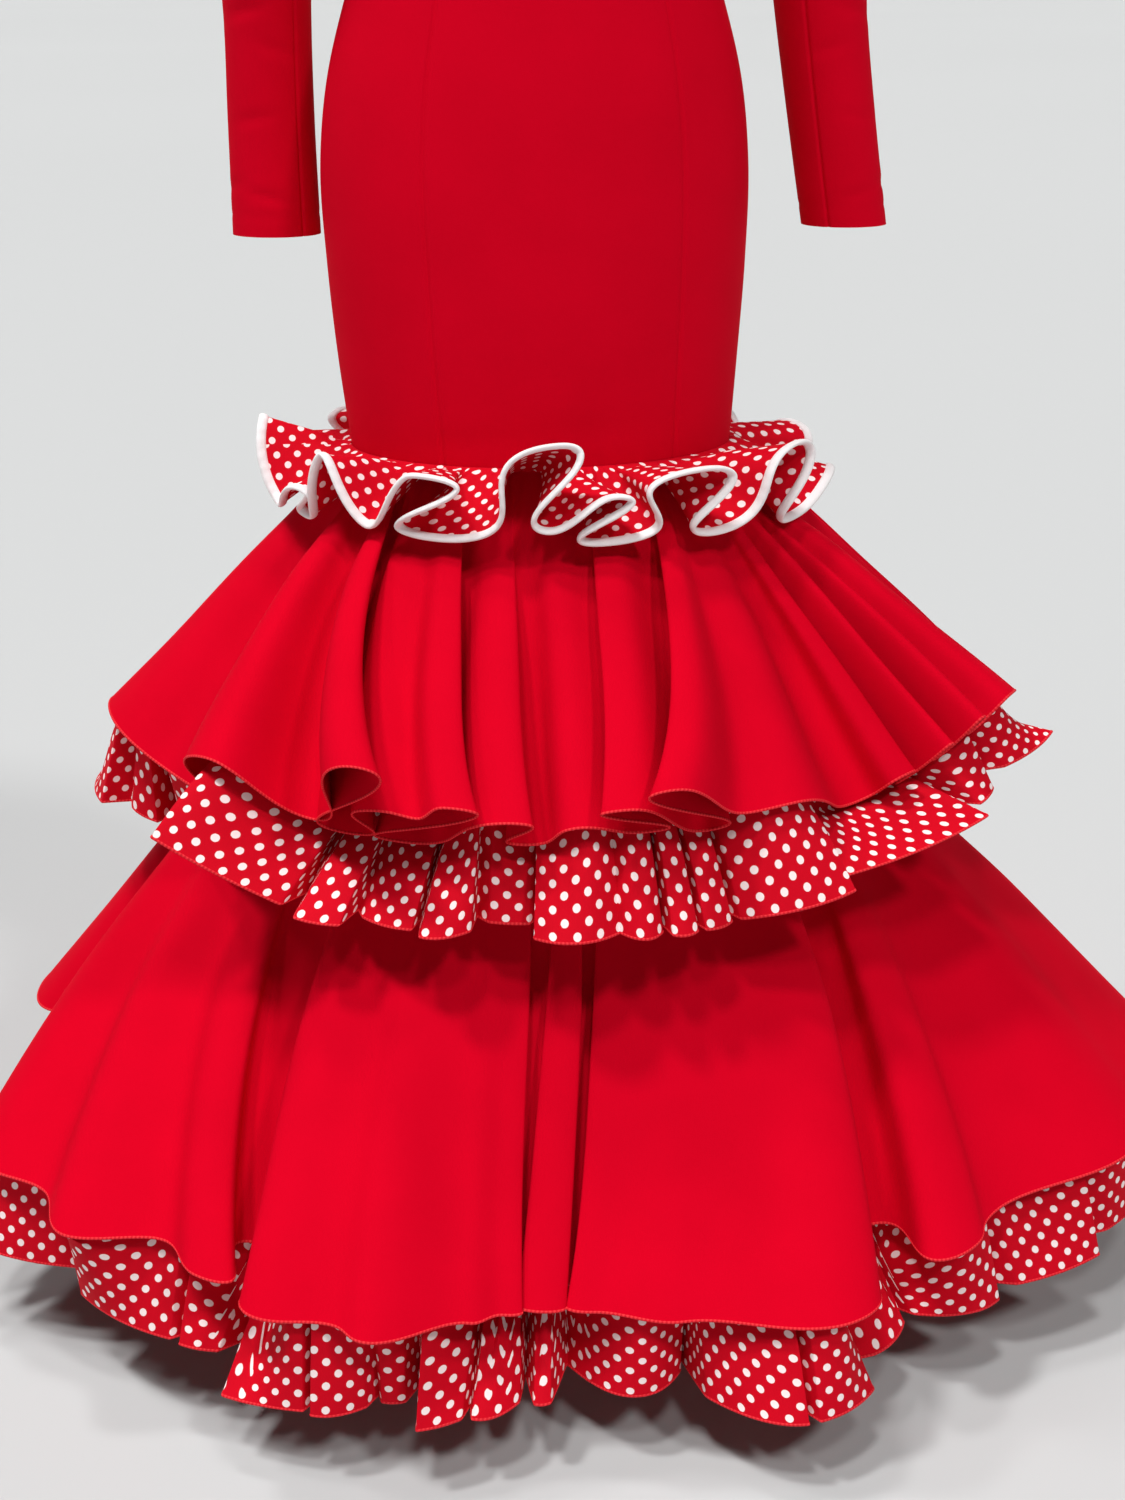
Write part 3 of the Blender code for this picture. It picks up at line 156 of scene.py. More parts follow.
SHOULDER_LINE = 1.500            # height of the frame's origin, as all heights here are counted
CLOTH = 0.0008                   # thickness
SEAM_GAP = 0.0003                # between two pieces at a seam, where they don't share an edge
SEAM_DIP = 0.0013                # depth of a pressed seam's groove
SEAM_REACH = 0.0013              # and how far it goes on each side of the seam
SHARP_CLOTH = 60.0               # degrees: only the cut edges of cloth are sharper than this,
SHARP_CORD = 70.0                # and only the ends of a cord than this
PRINCESS_FRONT = 36.0            # azimuths in degrees: 0 in front, 90 at +X, 180 behind
PRINCESS_BACK = 146.0
BODY_COLUMNS = ("height", "half_width", "front", "back", "drift")
BODY_ROWS = (
    (0.668, 0.1630, 0.125, 0.125, 0.004),
    (0.740, 0.1700, 0.127, 0.128, 0.002),
    (0.820, 0.1760, 0.127, 0.131, 0.001),
    (0.900, 0.1780, 0.124, 0.133, 0.000),
    (0.970, 0.1700, 0.118, 0.128, 0.000),
    (1.030, 0.1540, 0.110, 0.114, 0.000),
    (1.120, 0.1220, 0.094, 0.088, 0.000),
    (1.180, 0.1280, 0.106, 0.092, 0.000),
    (1.245, 0.1440, 0.128, 0.100, 0.000),
    (1.295, 0.1490, 0.126, 0.104, 0.000),
    (1.335, 0.1500, 0.116, 0.106, 0.000),
)
SHEATH_HEM = BODY_ROWS[0][0]
ARMPIT = BODY_ROWS[-1][0]
LIFTED = 10.0                    # a level below this is a height, one above it is this plus a lift
SEAM_LIFT = 89.88                # a panel stops short of the shoulder seam
NECK_HALF_WIDTH = 0.078
NECK_ROUND = 0.68                # 0.5 would be a half ellipse, with corners at its two ends
NECK_SIDE_HEIGHT = 1.525
NECK_FRONT_HEIGHT = 1.432
NECK_BACK_HEIGHT = 1.503
NECK_SEARCH_FROM = 80.0          # the lift at which the search for the neckline begins
NECK_SEARCH_TURNS = 12
SHOULDER_TIP = (0.186, 1.474)
SHOULDER_SECTION = 0.211         # half width that the body's section grows to up there
ARMHOLE_COLUMNS = ("lift", "azimuth")
ARMHOLE_ROWS = ((0.0, 90.0), (5.0, 79.0), (12.0, 70.0), (25.0, 64.0), (50.0, 61.0), (90.0, 62.0))
PANEL_WIDTH = 0.10               # a panel's mean width and
PANEL_RADIUS = 0.14              # its mean distance from the axis
SHEATH_ROWS_BELOW = 90
SHEATH_ROWS_ABOVE = 34
BESIDE_SEAM = (0.0, 0.0005, 0.0011, 0.0018, 0.0028, 0.0042)    # columns close to a seam, in metres

CREASE_SWELL = 0.6               # of its depth: how much the cloth swells beside a crease
CREASE_TAPER = 0.6               # of its half length: how soon it fades towards its ends
# Soft creases of the worn sheath: azimuth, height, half length along the crease, half width (m),
# depth (m), and tilt in degrees from level.
SHEATH_CREASES = (
    (-58, 1.105, 0.070, 0.0060, 0.0016, 14),
    (-48, 1.078, 0.052, 0.0050, 0.0011, 20),
    (52, 1.112, 0.064, 0.0060, 0.0015, -12),
    (61, 1.083, 0.045, 0.0050, 0.0010, -21),
    (-25, 1.136, 0.040, 0.0055, 0.0008, 6),
    (30, 1.142, 0.046, 0.0055, 0.0009, -5),
    (-66, 1.305, 0.050, 0.0070, 0.0016, 48),
    (63, 1.300, 0.044, 0.0070, 0.0015, -45),
    (-30, 0.690, 0.060, 0.0080, 0.0008, 3),
    (14, 0.700, 0.070, 0.0090, 0.0007, -2),
    (128, 1.118, 0.070, 0.0065, 0.0016, 15),
    (-131, 1.108, 0.066, 0.0065, 0.0015, -13),
    (162, 1.146, 0.052, 0.0055, 0.0011, 5),
    (-158, 1.090, 0.058, 0.0055, 0.0012, -6),
)


def read_table(rows, columns, name, at):
    """A smooth curve through one named column, read at values of the first column."""
    table = np.array(rows, float)
    keys = table[:, 0]
    values = table[:, columns.index(name)]
    order = np.argsort(keys)
    keys = keys[order]
    values = values[order]
    slopes = np.gradient(values, keys)
    at = np.clip(at, keys[0], keys[-1])
    row = np.clip(np.searchsorted(keys, at) - 1, 0, len(keys) - 2)
    span = keys[row + 1] - keys[row]
    f = (at - keys[row]) / span
    return (values[row] * (2 * f**3 - 3 * f**2 + 1) + values[row + 1] * (3 * f**2 - 2 * f**3)
            + span * (slopes[row] * (f**3 - 2 * f**2 + f) + slopes[row + 1] * (f**3 - f**2)))


def facing_of(grid):
    """Unit normals of a grid of points [row][column], along column direction x row direction."""
    across = np.gradient(grid, axis=1)
    along = np.gradient(grid, axis=0)
    normal = np.cross(across, along)
    return normal / np.maximum(np.linalg.norm(normal, axis=-1, keepdims=True), 1e-12)


def step_lengths(points, axis):
    """Lengths of the steps between neighbours, along one axis of a grid or path of points."""
    return np.linalg.norm(np.diff(points, axis=axis), axis=-1)


def cut_piece(name, points, faces, finish, sharp, places=None):
    """A smooth piece from points and faces. Places are where its points lie on the flat cloth."""
    mesh = bpy.data.meshes.new(name)
    mesh.from_pydata(points.tolist(), [], faces)
    if places is not None:
        layer = mesh.uv_layers.new(name="flat_cloth")
        corners = np.empty(len(mesh.loops), np.int32)
        mesh.loops.foreach_get("vertex_index", corners)
        layer.data.foreach_set("uv", places[corners].ravel())
    mesh.shade_smooth()
    mesh.set_sharp_from_angle(angle=math.radians(sharp))
    piece = bpy.data.objects.new(name, mesh)
    piece.data.materials.append(finish)
    bpy.context.scene.collection.objects.link(piece)
    return piece


def sew_shell(name, outside, facing, finish, flat_at=None):
    """A thin closed cloth from its outer side, a grid of points; flat_at lays it on flat cloth."""
    rows, columns = outside.shape[:2]
    points = np.concatenate([outside.reshape(-1, 3), (outside - CLOTH * facing).reshape(-1, 3)])
    index = np.arange(rows * columns).reshape(rows, columns)
    a, b, c, d = index[:-1, :-1], index[:-1, 1:], index[1:, 1:], index[1:, :-1]
    outer = np.stack([a, b, c, d], -1).reshape(-1, 4)
    edges = points[outer[:, 1]] - points[outer[:, 0]]
    sides = points[outer[:, 3]] - points[outer[:, 0]]
    agree = np.sum(np.cross(edges, sides) * facing[:-1, :-1].reshape(-1, 3)) > 0
    inner = outer[:, ::-1] + rows * columns
    rim = np.concatenate([index[0, :], index[1:, -1], index[-1, -2::-1], index[-2:0:-1, 0]])
    after = np.roll(rim, -1)
    walls = np.stack([rim, rim + rows * columns, after + rows * columns, after], -1)
    faces = np.concatenate([outer, inner, walls])
    if not agree:
        faces = faces[:, ::-1]
    places = None if flat_at is None else np.concatenate([flat_at.reshape(-1, 2)] * 2)
    return cut_piece(name, points, faces.tolist(), finish, SHARP_CLOTH, places)


def cut_size(outside):
    """What a panel was cut to, laid flat: its greatest width and height, and its area."""
    widths = step_lengths(outside, 1).sum(axis=1)
    heights = step_lengths(outside, 0).sum(axis=0)
    return float(widths.max()), float(heights.max()), float(widths.mean() * heights.mean())


def sew_on(piece, node=None):
    """Sets a piece on the dress, in place of a node if it has one."""
    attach(piece, "dress")
    if node:
        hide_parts(node)


def spread_columns(beside, columns):
    """Shares across a panel: these beside each of its two seams, and even ones between."""
    beside = np.array(beside)
    return np.concatenate([beside, np.linspace(beside[-1], 1 - beside[-1], columns)[1:-1],
                           1 - beside[::-1]])


def seam_groove(beside):
    """Depth of a pressed seam's groove, by the distance from the seam."""
    return SEAM_DIP * np.exp(-((beside / SEAM_REACH) ** 2))


def degrees_from(azimuth, other):
    """The turn to an azimuth from another one, between -180 and 180."""
    return (azimuth - other + 180.0) % 360.0 - 180.0


def shoulder_height(x):
    """Height of the shoulder seam, which falls from the neck's side to the shoulder tip."""
    fall = (NECK_SIDE_HEIGHT - SHOULDER_TIP[1]) / (SHOULDER_TIP[0] - NECK_HALF_WIDTH)
    return NECK_SIDE_HEIGHT - fall * np.maximum(np.abs(x) - NECK_HALF_WIDTH, 0.0)


def body(azimuth, level):
    """The sheath's outer side, by azimuth and level."""
    azimuth = np.asarray(azimuth, float)
    level = np.asarray(level, float)
    angle = np.radians(azimuth)
    lift = np.radians(np.clip(level - LIFTED, 0.0, 90.0))
    height = np.where(level < LIFTED, level, ARMPIT)
    half_width, front, back, drift = (read_table(BODY_ROWS, BODY_COLUMNS, name, height)
                                      for name in ("half_width", "front", "back", "drift"))
    half_width = half_width + (SHOULDER_SECTION - BODY_ROWS[-1][1]) * np.sin(lift) ** 2
    x = half_width * np.sin(angle)
    depth = np.where(np.cos(angle) > 0, front, back)
    y = -depth * np.cos(angle) * np.cos(lift)
    top = shoulder_height(x)
    z = np.where(level < LIFTED, height, ARMPIT + (top - ARMPIT) * np.sin(lift))
    return np.stack([x + drift, y, z - SHOULDER_LINE], -1)


def neck_lift(azimuth):
    """How far up a column runs over the shoulder: to the neckline or to the shoulder seam."""
    angle = np.radians(azimuth)
    bottom = np.where(np.cos(angle) > 0, NECK_FRONT_HEIGHT, NECK_BACK_HEIGHT)
    chest = BODY_ROWS[-1][1]
    lift = np.full_like(angle, NECK_SEARCH_FROM)
    for _ in range(NECK_SEARCH_TURNS):
        width = chest + (SHOULDER_SECTION - chest) * np.sin(np.radians(lift)) ** 2
        share = np.abs(width * np.sin(angle)) / NECK_HALF_WIDTH
        curve = np.clip(1.0 - share**2, 0.0, 1.0) ** NECK_ROUND
        height = NECK_SIDE_HEIGHT - (NECK_SIDE_HEIGHT - bottom) * curve
        rise = (height - ARMPIT) / (NECK_SIDE_HEIGHT - ARMPIT)
        lift = np.degrees(np.arcsin(np.clip(rise, 0.0, 1.0)))
        lift = np.where(share >= 1.0, SEAM_LIFT, np.minimum(lift, SEAM_LIFT))
    return lift


def armhole_azimuth(level):
    """Where the sheath stops for the sleeve, by level."""
    lift = np.maximum(np.asarray(level) - LIFTED, 0.0)
    return read_table(ARMHOLE_ROWS, ARMHOLE_COLUMNS, "azimuth", lift)


def crease_depth(azimuth, height, creases, radius):
    """How deep a table's creases go at each point: a valley each, with a soft swell beside it."""
    press = np.zeros(height.shape)
    for at, level, half_length, half_width, depth, tilt in creases:
        away = np.radians(degrees_from(azimuth, at)) * radius
        up = height - level
        turn = math.radians(tilt)
        along = away * math.cos(turn) + up * math.sin(turn)
        over = (up * math.cos(turn) - away * math.sin(turn)) / half_width
        valley = (1.0 - CREASE_SWELL * over**2) * np.exp(-0.5 * over**2)
        press += depth * valley * np.exp(-0.5 * (along / (CREASE_TAPER * half_length)) ** 2)
    return press


def sheath_panel(name, edges, columns, finish):
    """A princess panel between two azimuths; an edge at 90 follows the armhole above the armpit."""
    below = np.linspace(SHEATH_HEM, ARMPIT, SHEATH_ROWS_BELOW)
    above = LIFTED + np.linspace(0.0, 90.0, SHEATH_ROWS_ABOVE + 1)[1:]
    levels = np.concatenate([below, above])
    shares = spread_columns(np.array(BESIDE_SEAM) / PANEL_WIDTH, columns)
    azimuths = np.zeros((len(levels), len(shares)))
    for row, level in enumerate(levels):
        ends = []
        for edge in edges:
            at = edge
            if abs(edge) == 90.0:
                inward = 90.0 - float(armhole_azimuth(level))
                at = math.copysign(90.0 + (inward if abs(sum(edges)) > 180.0 else -inward), edge)
            ends.append(at)
        azimuths[row] = ends[0] + (ends[1] - ends[0]) * shares
    grid = np.repeat(levels[:, None], len(shares), axis=1)
    top = neck_lift(azimuths[-1])
    rise = (grid - LIFTED) / 90.0
    grid = np.where(grid >= LIFTED, LIFTED + rise * top[None, :], grid)
    outside = body(azimuths, grid)
    facing = facing_of(outside)
    around = np.degrees(np.arctan2(outside[..., 0], -outside[..., 1]))
    press = crease_depth(around, outside[..., 2] + SHOULDER_LINE, SHEATH_CREASES, PANEL_RADIUS)
    outside = outside - press[..., None] * facing
    dip = seam_groove(np.minimum(shares, 1.0 - shares) * PANEL_WIDTH)
    outside = outside - dip[None, :, None] * facing
    return sew_shell(name, outside, facing_of(outside), finish), cut_size(outside)


CREPE_GRAIN_MM = 1.3             # drawn coarser than the real 0.4 mm pebble, so that it still shows
CREPE_SHADE_MM = 60.0            # patches where the dye took a little deeper
CREPE_RED = "#D20020"
CREPE_RED_DEEP = "#C6001C"


def crepe_grain(tree, shader):
    """The pebbled surface that twisted yarns give crepe."""
    place = add_node(tree, "ShaderNodeTexCoord")
    grain = add_node(tree, "ShaderNodeTexNoise",
                     inputs={"Vector": place.outputs["Object"], "Scale": 1000 / CREPE_GRAIN_MM,
                             "Detail": 3.0, "Roughness": 0.6})
    bump = add_node(tree, "ShaderNodeBump",
                    inputs={"Strength": 0.35, "Distance": 0.0003, "Height": grain.outputs["Fac"]})
    tree.links.new(bump.outputs["Normal"], shader.inputs["Normal"])
    return place, grain


# Polyester crepe, dyed red: woven from twisted yarn, so it is matte, with a fine pebble that breaks
# up any shine, and takes the dye very slightly unevenly.
red_crepe, tree, shader = new_material("red_polyester_crepe")
place, grain = crepe_grain(tree, shader)
shade = add_node(tree, "ShaderNodeTexNoise",
                 inputs={"Vector": place.outputs["Object"], "Scale": 1000 / CREPE_SHADE_MM,
                         "Detail": 2.0})
blend = add_node(tree, "ShaderNodeMath", {"operation": "MULTIPLY_ADD"},
                 {0: grain.outputs["Fac"], 1: 0.6, 2: -0.1})
both = add_node(tree, "ShaderNodeMath", {"operation": "ADD", "use_clamp": True},
                {0: blend.outputs[0], 1: shade.outputs["Fac"]})
dye = add_node(tree, "ShaderNodeMix", {"data_type": "RGBA"},
               {"Factor": both.outputs[0], "A": hex_colour(CREPE_RED_DEEP),
                "B": hex_colour(CREPE_RED)})
tree.links.new(dye.outputs["Result"], shader.inputs["Base Color"])
shader.inputs["Roughness"].default_value = 0.85
shader.inputs["Specular IOR Level"].default_value = 0.03

# Each panel's node, its two seams' azimuths, and how many columns it is cut into.
sheath_pieces = [("front_centre", (-PRINCESS_FRONT, PRINCESS_FRONT), 34)]
for side, word in ((1, "right"), (-1, "left")):
    sheath_pieces.append(("front_side_" + word, sorted((side * PRINCESS_FRONT, side * 90.0)), 24))
    sheath_pieces.append(("back_side_" + word, sorted((side * 90.0, side * PRINCESS_BACK)), 24))
    sheath_pieces.append(("back_" + word, sorted((side * PRINCESS_BACK, side * 180.0)), 20))
for node, edges, columns in sheath_pieces:
    panel, (width, height, area) = sheath_panel("cloth_" + node, edges, columns, red_crepe)
    sew_on(panel, node)

# ---- Sleeves ----
# Two-piece sleeves of the same crepe: an upper part over the arm and a narrow under part, joined by
# a seam in front and one behind. The cuff is turned up inside and stitched.

SLEEVE_COLUMNS = ("height", "out", "back", "half_width", "half_depth")
SLEEVE_RIGHT_ROWS = (
    (1.250, 0.216, 0.004, 0.0520, 0.0560),
    (1.180, 0.224, 0.006, 0.0465, 0.0510),
    (1.110, 0.232, 0.008, 0.0420, 0.0465),
    (1.030, 0.240, 0.011, 0.0385, 0.0420),
    (0.930, 0.254, 0.010, 0.0370, 0.0375),
    (0.845, 0.2675, 0.009, 0.0365, 0.0335),
)
SLEEVE_LEFT_ROWS = (
    (1.250, 0.214, 0.010, 0.0520, 0.0560),
    (1.180, 0.217, 0.026, 0.0465, 0.0510),
    (1.110, 0.216, 0.044, 0.0415, 0.0465),
    (1.030, 0.214, 0.062, 0.0365, 0.0420),
    (0.930, 0.214, 0.066, 0.0362, 0.0375),
    (0.839, 0.213, 0.064, 0.0372, 0.0335),
)
SLEEVE_SEAMS = (-35.0, -178.0)   # the front and the back one, in degrees round from the front
SLEEVE_RADIUS = 0.042
ARMHOLE_INSET = 0.4              # degrees from the sheath's edge to the sleeve's
CAP_OUT = (0.030, 0.085)         # how the cap leaves the armhole under the arm, outwards, and
CAP_DOWN = (-0.075, 0.030)       # upwards, each with what is added up at the shoulder
CAP_LEAST_DROP = 0.06            # how straight down it comes to the arm
CREASES_FADE = 0.06              # share at the armhole and at the cuff in which creases fade out
SEAMS_FADE = 0.04                # and at the armhole in which seams do
CUFF_HEM = 0.016                 # depth of the turned-up cuff
CUFF_GROOVE = 0.0005             # depth of its stitching line, and how far it spreads
CUFF_GROOVE_REACH = 0.0012
SLEEVE_ROWS = 150

# Creases of the sleeves: degrees round from the front, height, half length and half width (m),
# depth (m), tilt.
SLEEVE_CREASES = (
    (20, 1.120, 0.030, 0.0060, 0.0022, 12),
    (-20, 1.092, 0.026, 0.0055, 0.0020, -16),
    (5, 1.060, 0.034, 0.0060, 0.0018, 8),
    (60, 1.140, 0.028, 0.0060, 0.0012, -20),
    (35, 1.020, 0.030, 0.0055, 0.0012, -10),
    (-10, 0.990, 0.022, 0.0050, 0.0010, 14),
    (25, 0.935, 0.026, 0.0050, 0.0009, -8),
    (10, 0.872, 0.024, 0.0045, 0.0011, 10),
    (70, 0.880, 0.022, 0.0045, 0.0009, -12),
    (30, 1.330, 0.034, 0.0070, 0.0024, 52),
    (0, 1.300, 0.030, 0.0065, 0.0022, 44),
    (170, 1.310, 0.036, 0.0070, 0.0022, -46),
    (185, 1.110, 0.030, 0.0055, 0.0012, 8),
)


def armhole(around, side):
    """The armhole's edge, by degrees round the sleeve: 0 in front, 90 at the shoulder tip."""
    rise = 0.5 * (1.0 + np.sin(np.radians(around)))
    lift = np.degrees(np.arcsin(np.clip(rise, 0.0, 1.0)))
    edge = armhole_azimuth(LIFTED + lift)
    edge = edge + np.minimum(ARMHOLE_INSET, 90.0 - edge)
    azimuth = np.where(np.cos(np.radians(around)) >= 0, edge, 180.0 - edge)
    points = body(side * azimuth, LIFTED + np.minimum(lift, SEAM_LIFT))
    points[..., 0] += side * 0.5 * SEAM_GAP
    return points


def sleeve(around, down, side):
    """The sleeve's outer side: down runs 0 to 1 over the cap, then 1 to 2 to the cuff."""
    rows = SLEEVE_RIGHT_ROWS if side > 0 else SLEEVE_LEFT_ROWS
    turn = np.radians(around)
    top, cuff = rows[0][0], rows[-1][0]
    height = top + (cuff - top) * np.clip(down - 1.0, 0.0, 1.0)
    out, back, half_width, half_depth = (read_table(rows, SLEEVE_COLUMNS, name, height)
                                         for name in ("out", "back", "half_width", "half_depth"))
    ring = np.stack([side * (out + half_width * np.sin(turn)), back - half_depth * np.cos(turn),
                     height - SHOULDER_LINE], -1)
    start = armhole(around, side)
    f = np.clip(down, 0.0, 1.0)[..., None]
    level_off = 0.5 * (1.0 + np.sin(turn))
    leave = np.stack([side * (CAP_OUT[0] + CAP_OUT[1] * level_off), 0.0 * turn,
                      CAP_DOWN[0] + CAP_DOWN[1] * level_off], -1)
    drop = start[..., 2] - ring[..., 2]
    arrive = np.stack([0.0 * drop, 0.0 * drop, -np.maximum(drop, CAP_LEAST_DROP)], -1)
    cap = (start * (2 * f**3 - 3 * f**2 + 1) + ring * (3 * f**2 - 2 * f**3)
           + leave * (f**3 - 2 * f**2 + f) + arrive * (f**3 - f**2))
    return np.where(down[..., None] < 1.0, cap, ring)


def sleeve_piece(name, side, ends, columns, finish):
    """One of a sleeve's two parts, between its seams' places round the arm."""
    rows = SLEEVE_RIGHT_ROWS if side > 0 else SLEEVE_LEFT_ROWS
    width = math.radians(ends[1] - ends[0]) * rows[-1][3]
    shares = spread_columns(np.array(BESIDE_SEAM) / width, columns)
    around = ends[0] + (ends[1] - ends[0]) * shares
    downs = np.concatenate([np.linspace(0.0, 1.0, SLEEVE_ROWS // 3, endpoint=False),
                            np.linspace(1.0, 2.0, SLEEVE_ROWS - SLEEVE_ROWS // 3)])
    around, down = np.meshgrid(around, downs)
    outside = sleeve(around, down, side)
    facing = facing_of(outside) * -side
    height = outside[..., 2] + SHOULDER_LINE
    press = crease_depth(around, height, SLEEVE_CREASES, SLEEVE_RADIUS)
    press *= np.clip(np.minimum(down, 2.0 - down) / CREASES_FADE, 0.0, 1.0)
    beside = np.minimum(shares, 1.0 - shares)[None, :] * width
    press = press + np.clip(down / SEAMS_FADE, 0.0, 1.0) * seam_groove(beside)
    from_stitching = height - rows[-1][0] - CUFF_HEM
    press = press + CUFF_GROOVE * np.exp(-((from_stitching / CUFF_GROOVE_REACH) ** 2))
    outside = outside - press[..., None] * facing
    return sew_shell(name, outside, facing, finish), cut_size(outside)


front_seam, back_seam = SLEEVE_SEAMS
for side, word in ((1, "right"), (-1, "left")):
    for part, ends, columns in (("upper", (front_seam, back_seam + 360.0), 60),
                                ("under", (back_seam, front_seam), 40)):
        node = f"sleeve_{part}_{word}"
        piece, (width, length, area) = sleeve_piece("cloth_" + node, side, ends, columns, red_crepe)
        sew_on(piece, node)

# ---- Base skirt ----
# A plain short skirt of crepe that goes on inside from the sheath's hem and carries the lower
# flounce. Only its underside can be seen, from below.

SHEATH_RING = (0.1630, 0.1250, SHEATH_HEM, 0.004)    # half width, half depth, height, drift
BASE_RING = (0.2250, 0.1920, 0.455, 0.010)
HEM_DRIFT = 0.012                # how far to +X the hems' middle lies
BASE_INSET = 0.0005              # how far inside the sheath the skirt is sewn on
BASE_COLUMNS = 90
BASE_ROWS = 24
GAP_EASE = 1.3                   # the gap in degrees is this much wider than at the ring's sides
HALVES = (("front", -90.0), ("back", 90.0))    # a ring's two halves, and where each begins


def ring_radius(ring, azimuth):
    """How far a seam ring lies from its middle, by azimuth."""
    angle = np.radians(azimuth)
    return 1.0 / np.sqrt((np.sin(angle) / ring[0]) ** 2 + (np.cos(angle) / ring[1]) ** 2)


def polar(azimuth, reach, height, drift):
    """A point by its azimuth, its reach from the axis, its height and the axis's drift."""
    angle = np.radians(azimuth)
    return np.stack([drift + reach * np.sin(angle), -reach * np.cos(angle),
                     height - SHOULDER_LINE + 0.0 * angle], -1)


def grown_ring(ring, out, up):
    """A ring that lies so far outside another one, and above it."""
    return (ring[0] + out, ring[1] + out, ring[2] + up, ring[3])


base_top = grown_ring(SHEATH_RING, -BASE_INSET, -SEAM_GAP)
gap = math.degrees(0.5 * SEAM_GAP / base_top[0]) * GAP_EASE
for word, first in HALVES:
    azimuth, down = np.meshgrid(np.linspace(first + gap, first + 180.0 - gap, BASE_COLUMNS),
                                np.linspace(0, 1, BASE_ROWS))
    radius = ring_radius(base_top, azimuth) * (1.0 - down) + ring_radius(BASE_RING, azimuth) * down
    height = base_top[2] + (BASE_RING[2] - base_top[2]) * down
    outside = polar(azimuth, radius, height, base_top[3] + (BASE_RING[3] - base_top[3]) * down)
    piece = sew_shell("cloth_base_skirt_" + word, outside, -facing_of(outside), red_crepe)
    sew_on(piece, "base_skirt_" + word)

# ---- Flounces ----
# Two flounces of crepe, cut as part circles and gathered into their seams, so that they fall in
# deep uneven folds that roll over each other. Their hems are overlocked in red thread.

UPPER_SEAT = (0.0017, -0.0015)   # how far outside the sheath's hem the seam lies, and above it
UPPER_LENGTH = 0.315
UPPER_TOP_STEEP = 45.0           # degrees below level at the seam
UPPER_GROWN = 0.45               # share of the length in which the folds grow to their steepness
UPPER_ROWS = 30
# A fold runs from its crest to its trough: azimuth and steepness (degrees below level) of each, how
# far the flanks before the crest and after it roll over, and the crest's azimuth up at the seam.
UPPER_FOLDS = (
    (-93, 44.5, -64, 56, 1, 2, -82),
    (-49.5, 35.5, -41, 49, 2, 0.5, -66),
    (-30, 31.6, -38, 53, 1.2, 4.8, -58),
    (-28.5, 42.2, -25, 43.9, 2.6, 0, -48.5),
    (-21.5, 39.8, -29, 54, 0, 6.2, -37),
    (-13.5, 43.7, -12, 52, 1, 2.4, -21.5),
    (-4.5, 45.2, 2.5, 48.2, 0.8, 0, -6.5),
    (1.1, 40.4, 11.9, 50.2, 4.5, 0, 9.5),
    (5.7, 36, 16.5, 45.4, 5, 0, 32.5),
    (24, 44.5, 40, 54, 0, 0, 38),
    (46, 46.7, 48.2, 51.5, 1.5, 1, 47),
    (49, 41, 50.8, 46, 0.4, 1, 53),
    (52, 36.3, 54, 41, 0.4, 1, 58),
    (58, 34.5, 84, 57, 0.4, 1, 64),
    (102, 42, 112, 56, 0, 3.5, 93),
    (124, 38, 134, 54, 1, 3, 117),
    (146, 44, 150, 57, 1, 4.5, 140),
    (168, 37, 178, 54, 0, 3, 163),
    (190, 43, 197, 57, 2, 4, 186),
    (213, 38, 222, 54, 0, 3, 208),
    (228, 42, 238, 57, 1, 4, 228),
    (245, 46.5, 258, 51.5, 1, 0, 248),
)
LOWER_SEAT = (0.0010, 0.0015)
LOWER_TOP_STEEP = 53.0
LOWER_GROWN = 0.65
LOWER_ROWS = 36
LOWER_HEM_FRONT = 0.096          # height of its hem
LOWER_HEM_SIDES = 0.140
# The lower flounce's hem hangs nearly level, so its folds give the reach from the axis instead.
LOWER_FOLDS = (
    (-105, 0.487, -86, 0.440, 0, 2, -106),
    (-66, 0.552, -59, 0.527, 1, 0, -85),
    (-53.2, 0.549, -45.6, 0.497, 0, 0, -77),
    (-40.5, 0.516, -37.5, 0.452, 0, 2.4, -68),
    (-33, 0.536, -27, 0.519, 1.2, 0, -39),
    (-24, 0.531, -16, 0.486, 0, 0, -31),
    (-13.2, 0.471, -13.8, 0.432, 0, 2, -15),
    (-9.6, 0.464, -7.6, 0.425, 1.5, 1.8, -4),
    (-5, 0.464, 3, 0.486, 1.8, 0, 4.5),
    (16, 0.532, 25.5, 0.432, 0, 1.8, 34),
    (30.5, 0.512, 37.5, 0.494, 2, 0.5, 52),
    (54, 0.552, 64, 0.545, 0, 1, 66),
    (74, 0.548, 92, 0.460, 1, 2, 79),
    (110, 0.528, 122, 0.445, 0, 2, 108),
    (138, 0.530, 148, 0.450, 1, 2, 136),
    (163, 0.528, 172, 0.440, 0, 2, 162),
    (189, 0.532, 199, 0.450, 1, 2, 188),
    (216, 0.526, 232, 0.440, 0, 2, 216),
)
FOLDS_EARLY = 2.0                # how much sooner than its hem a flounce begins to fold
FOLD_SAMPLES = 2400              # round a whole hem
SHARES = np.linspace(0.0, 1.0, FOLD_SAMPLES + 1)
FLANK_SAMPLES = 48               # down one side of a fold
BEND_SPACE = 0.012               # metres that a radian of bend counts as, when samples are spaced
HEM_WINDOW = 9                   # samples over which a hem's folds are averaged,
COURSE_WINDOW = FOLD_SAMPLES // 14    # its course without the folds,
SEAM_WINDOW = FOLD_SAMPLES // 40      # and the seam that they start from
STEEP_REACH = 0.7                # of a layer's length: about how far its hem stands out
CLOSE_TO_SEAM = (0.0, 0.0005, 0.0011, 0.0019, 0.0030)    # columns there, as shares of a half
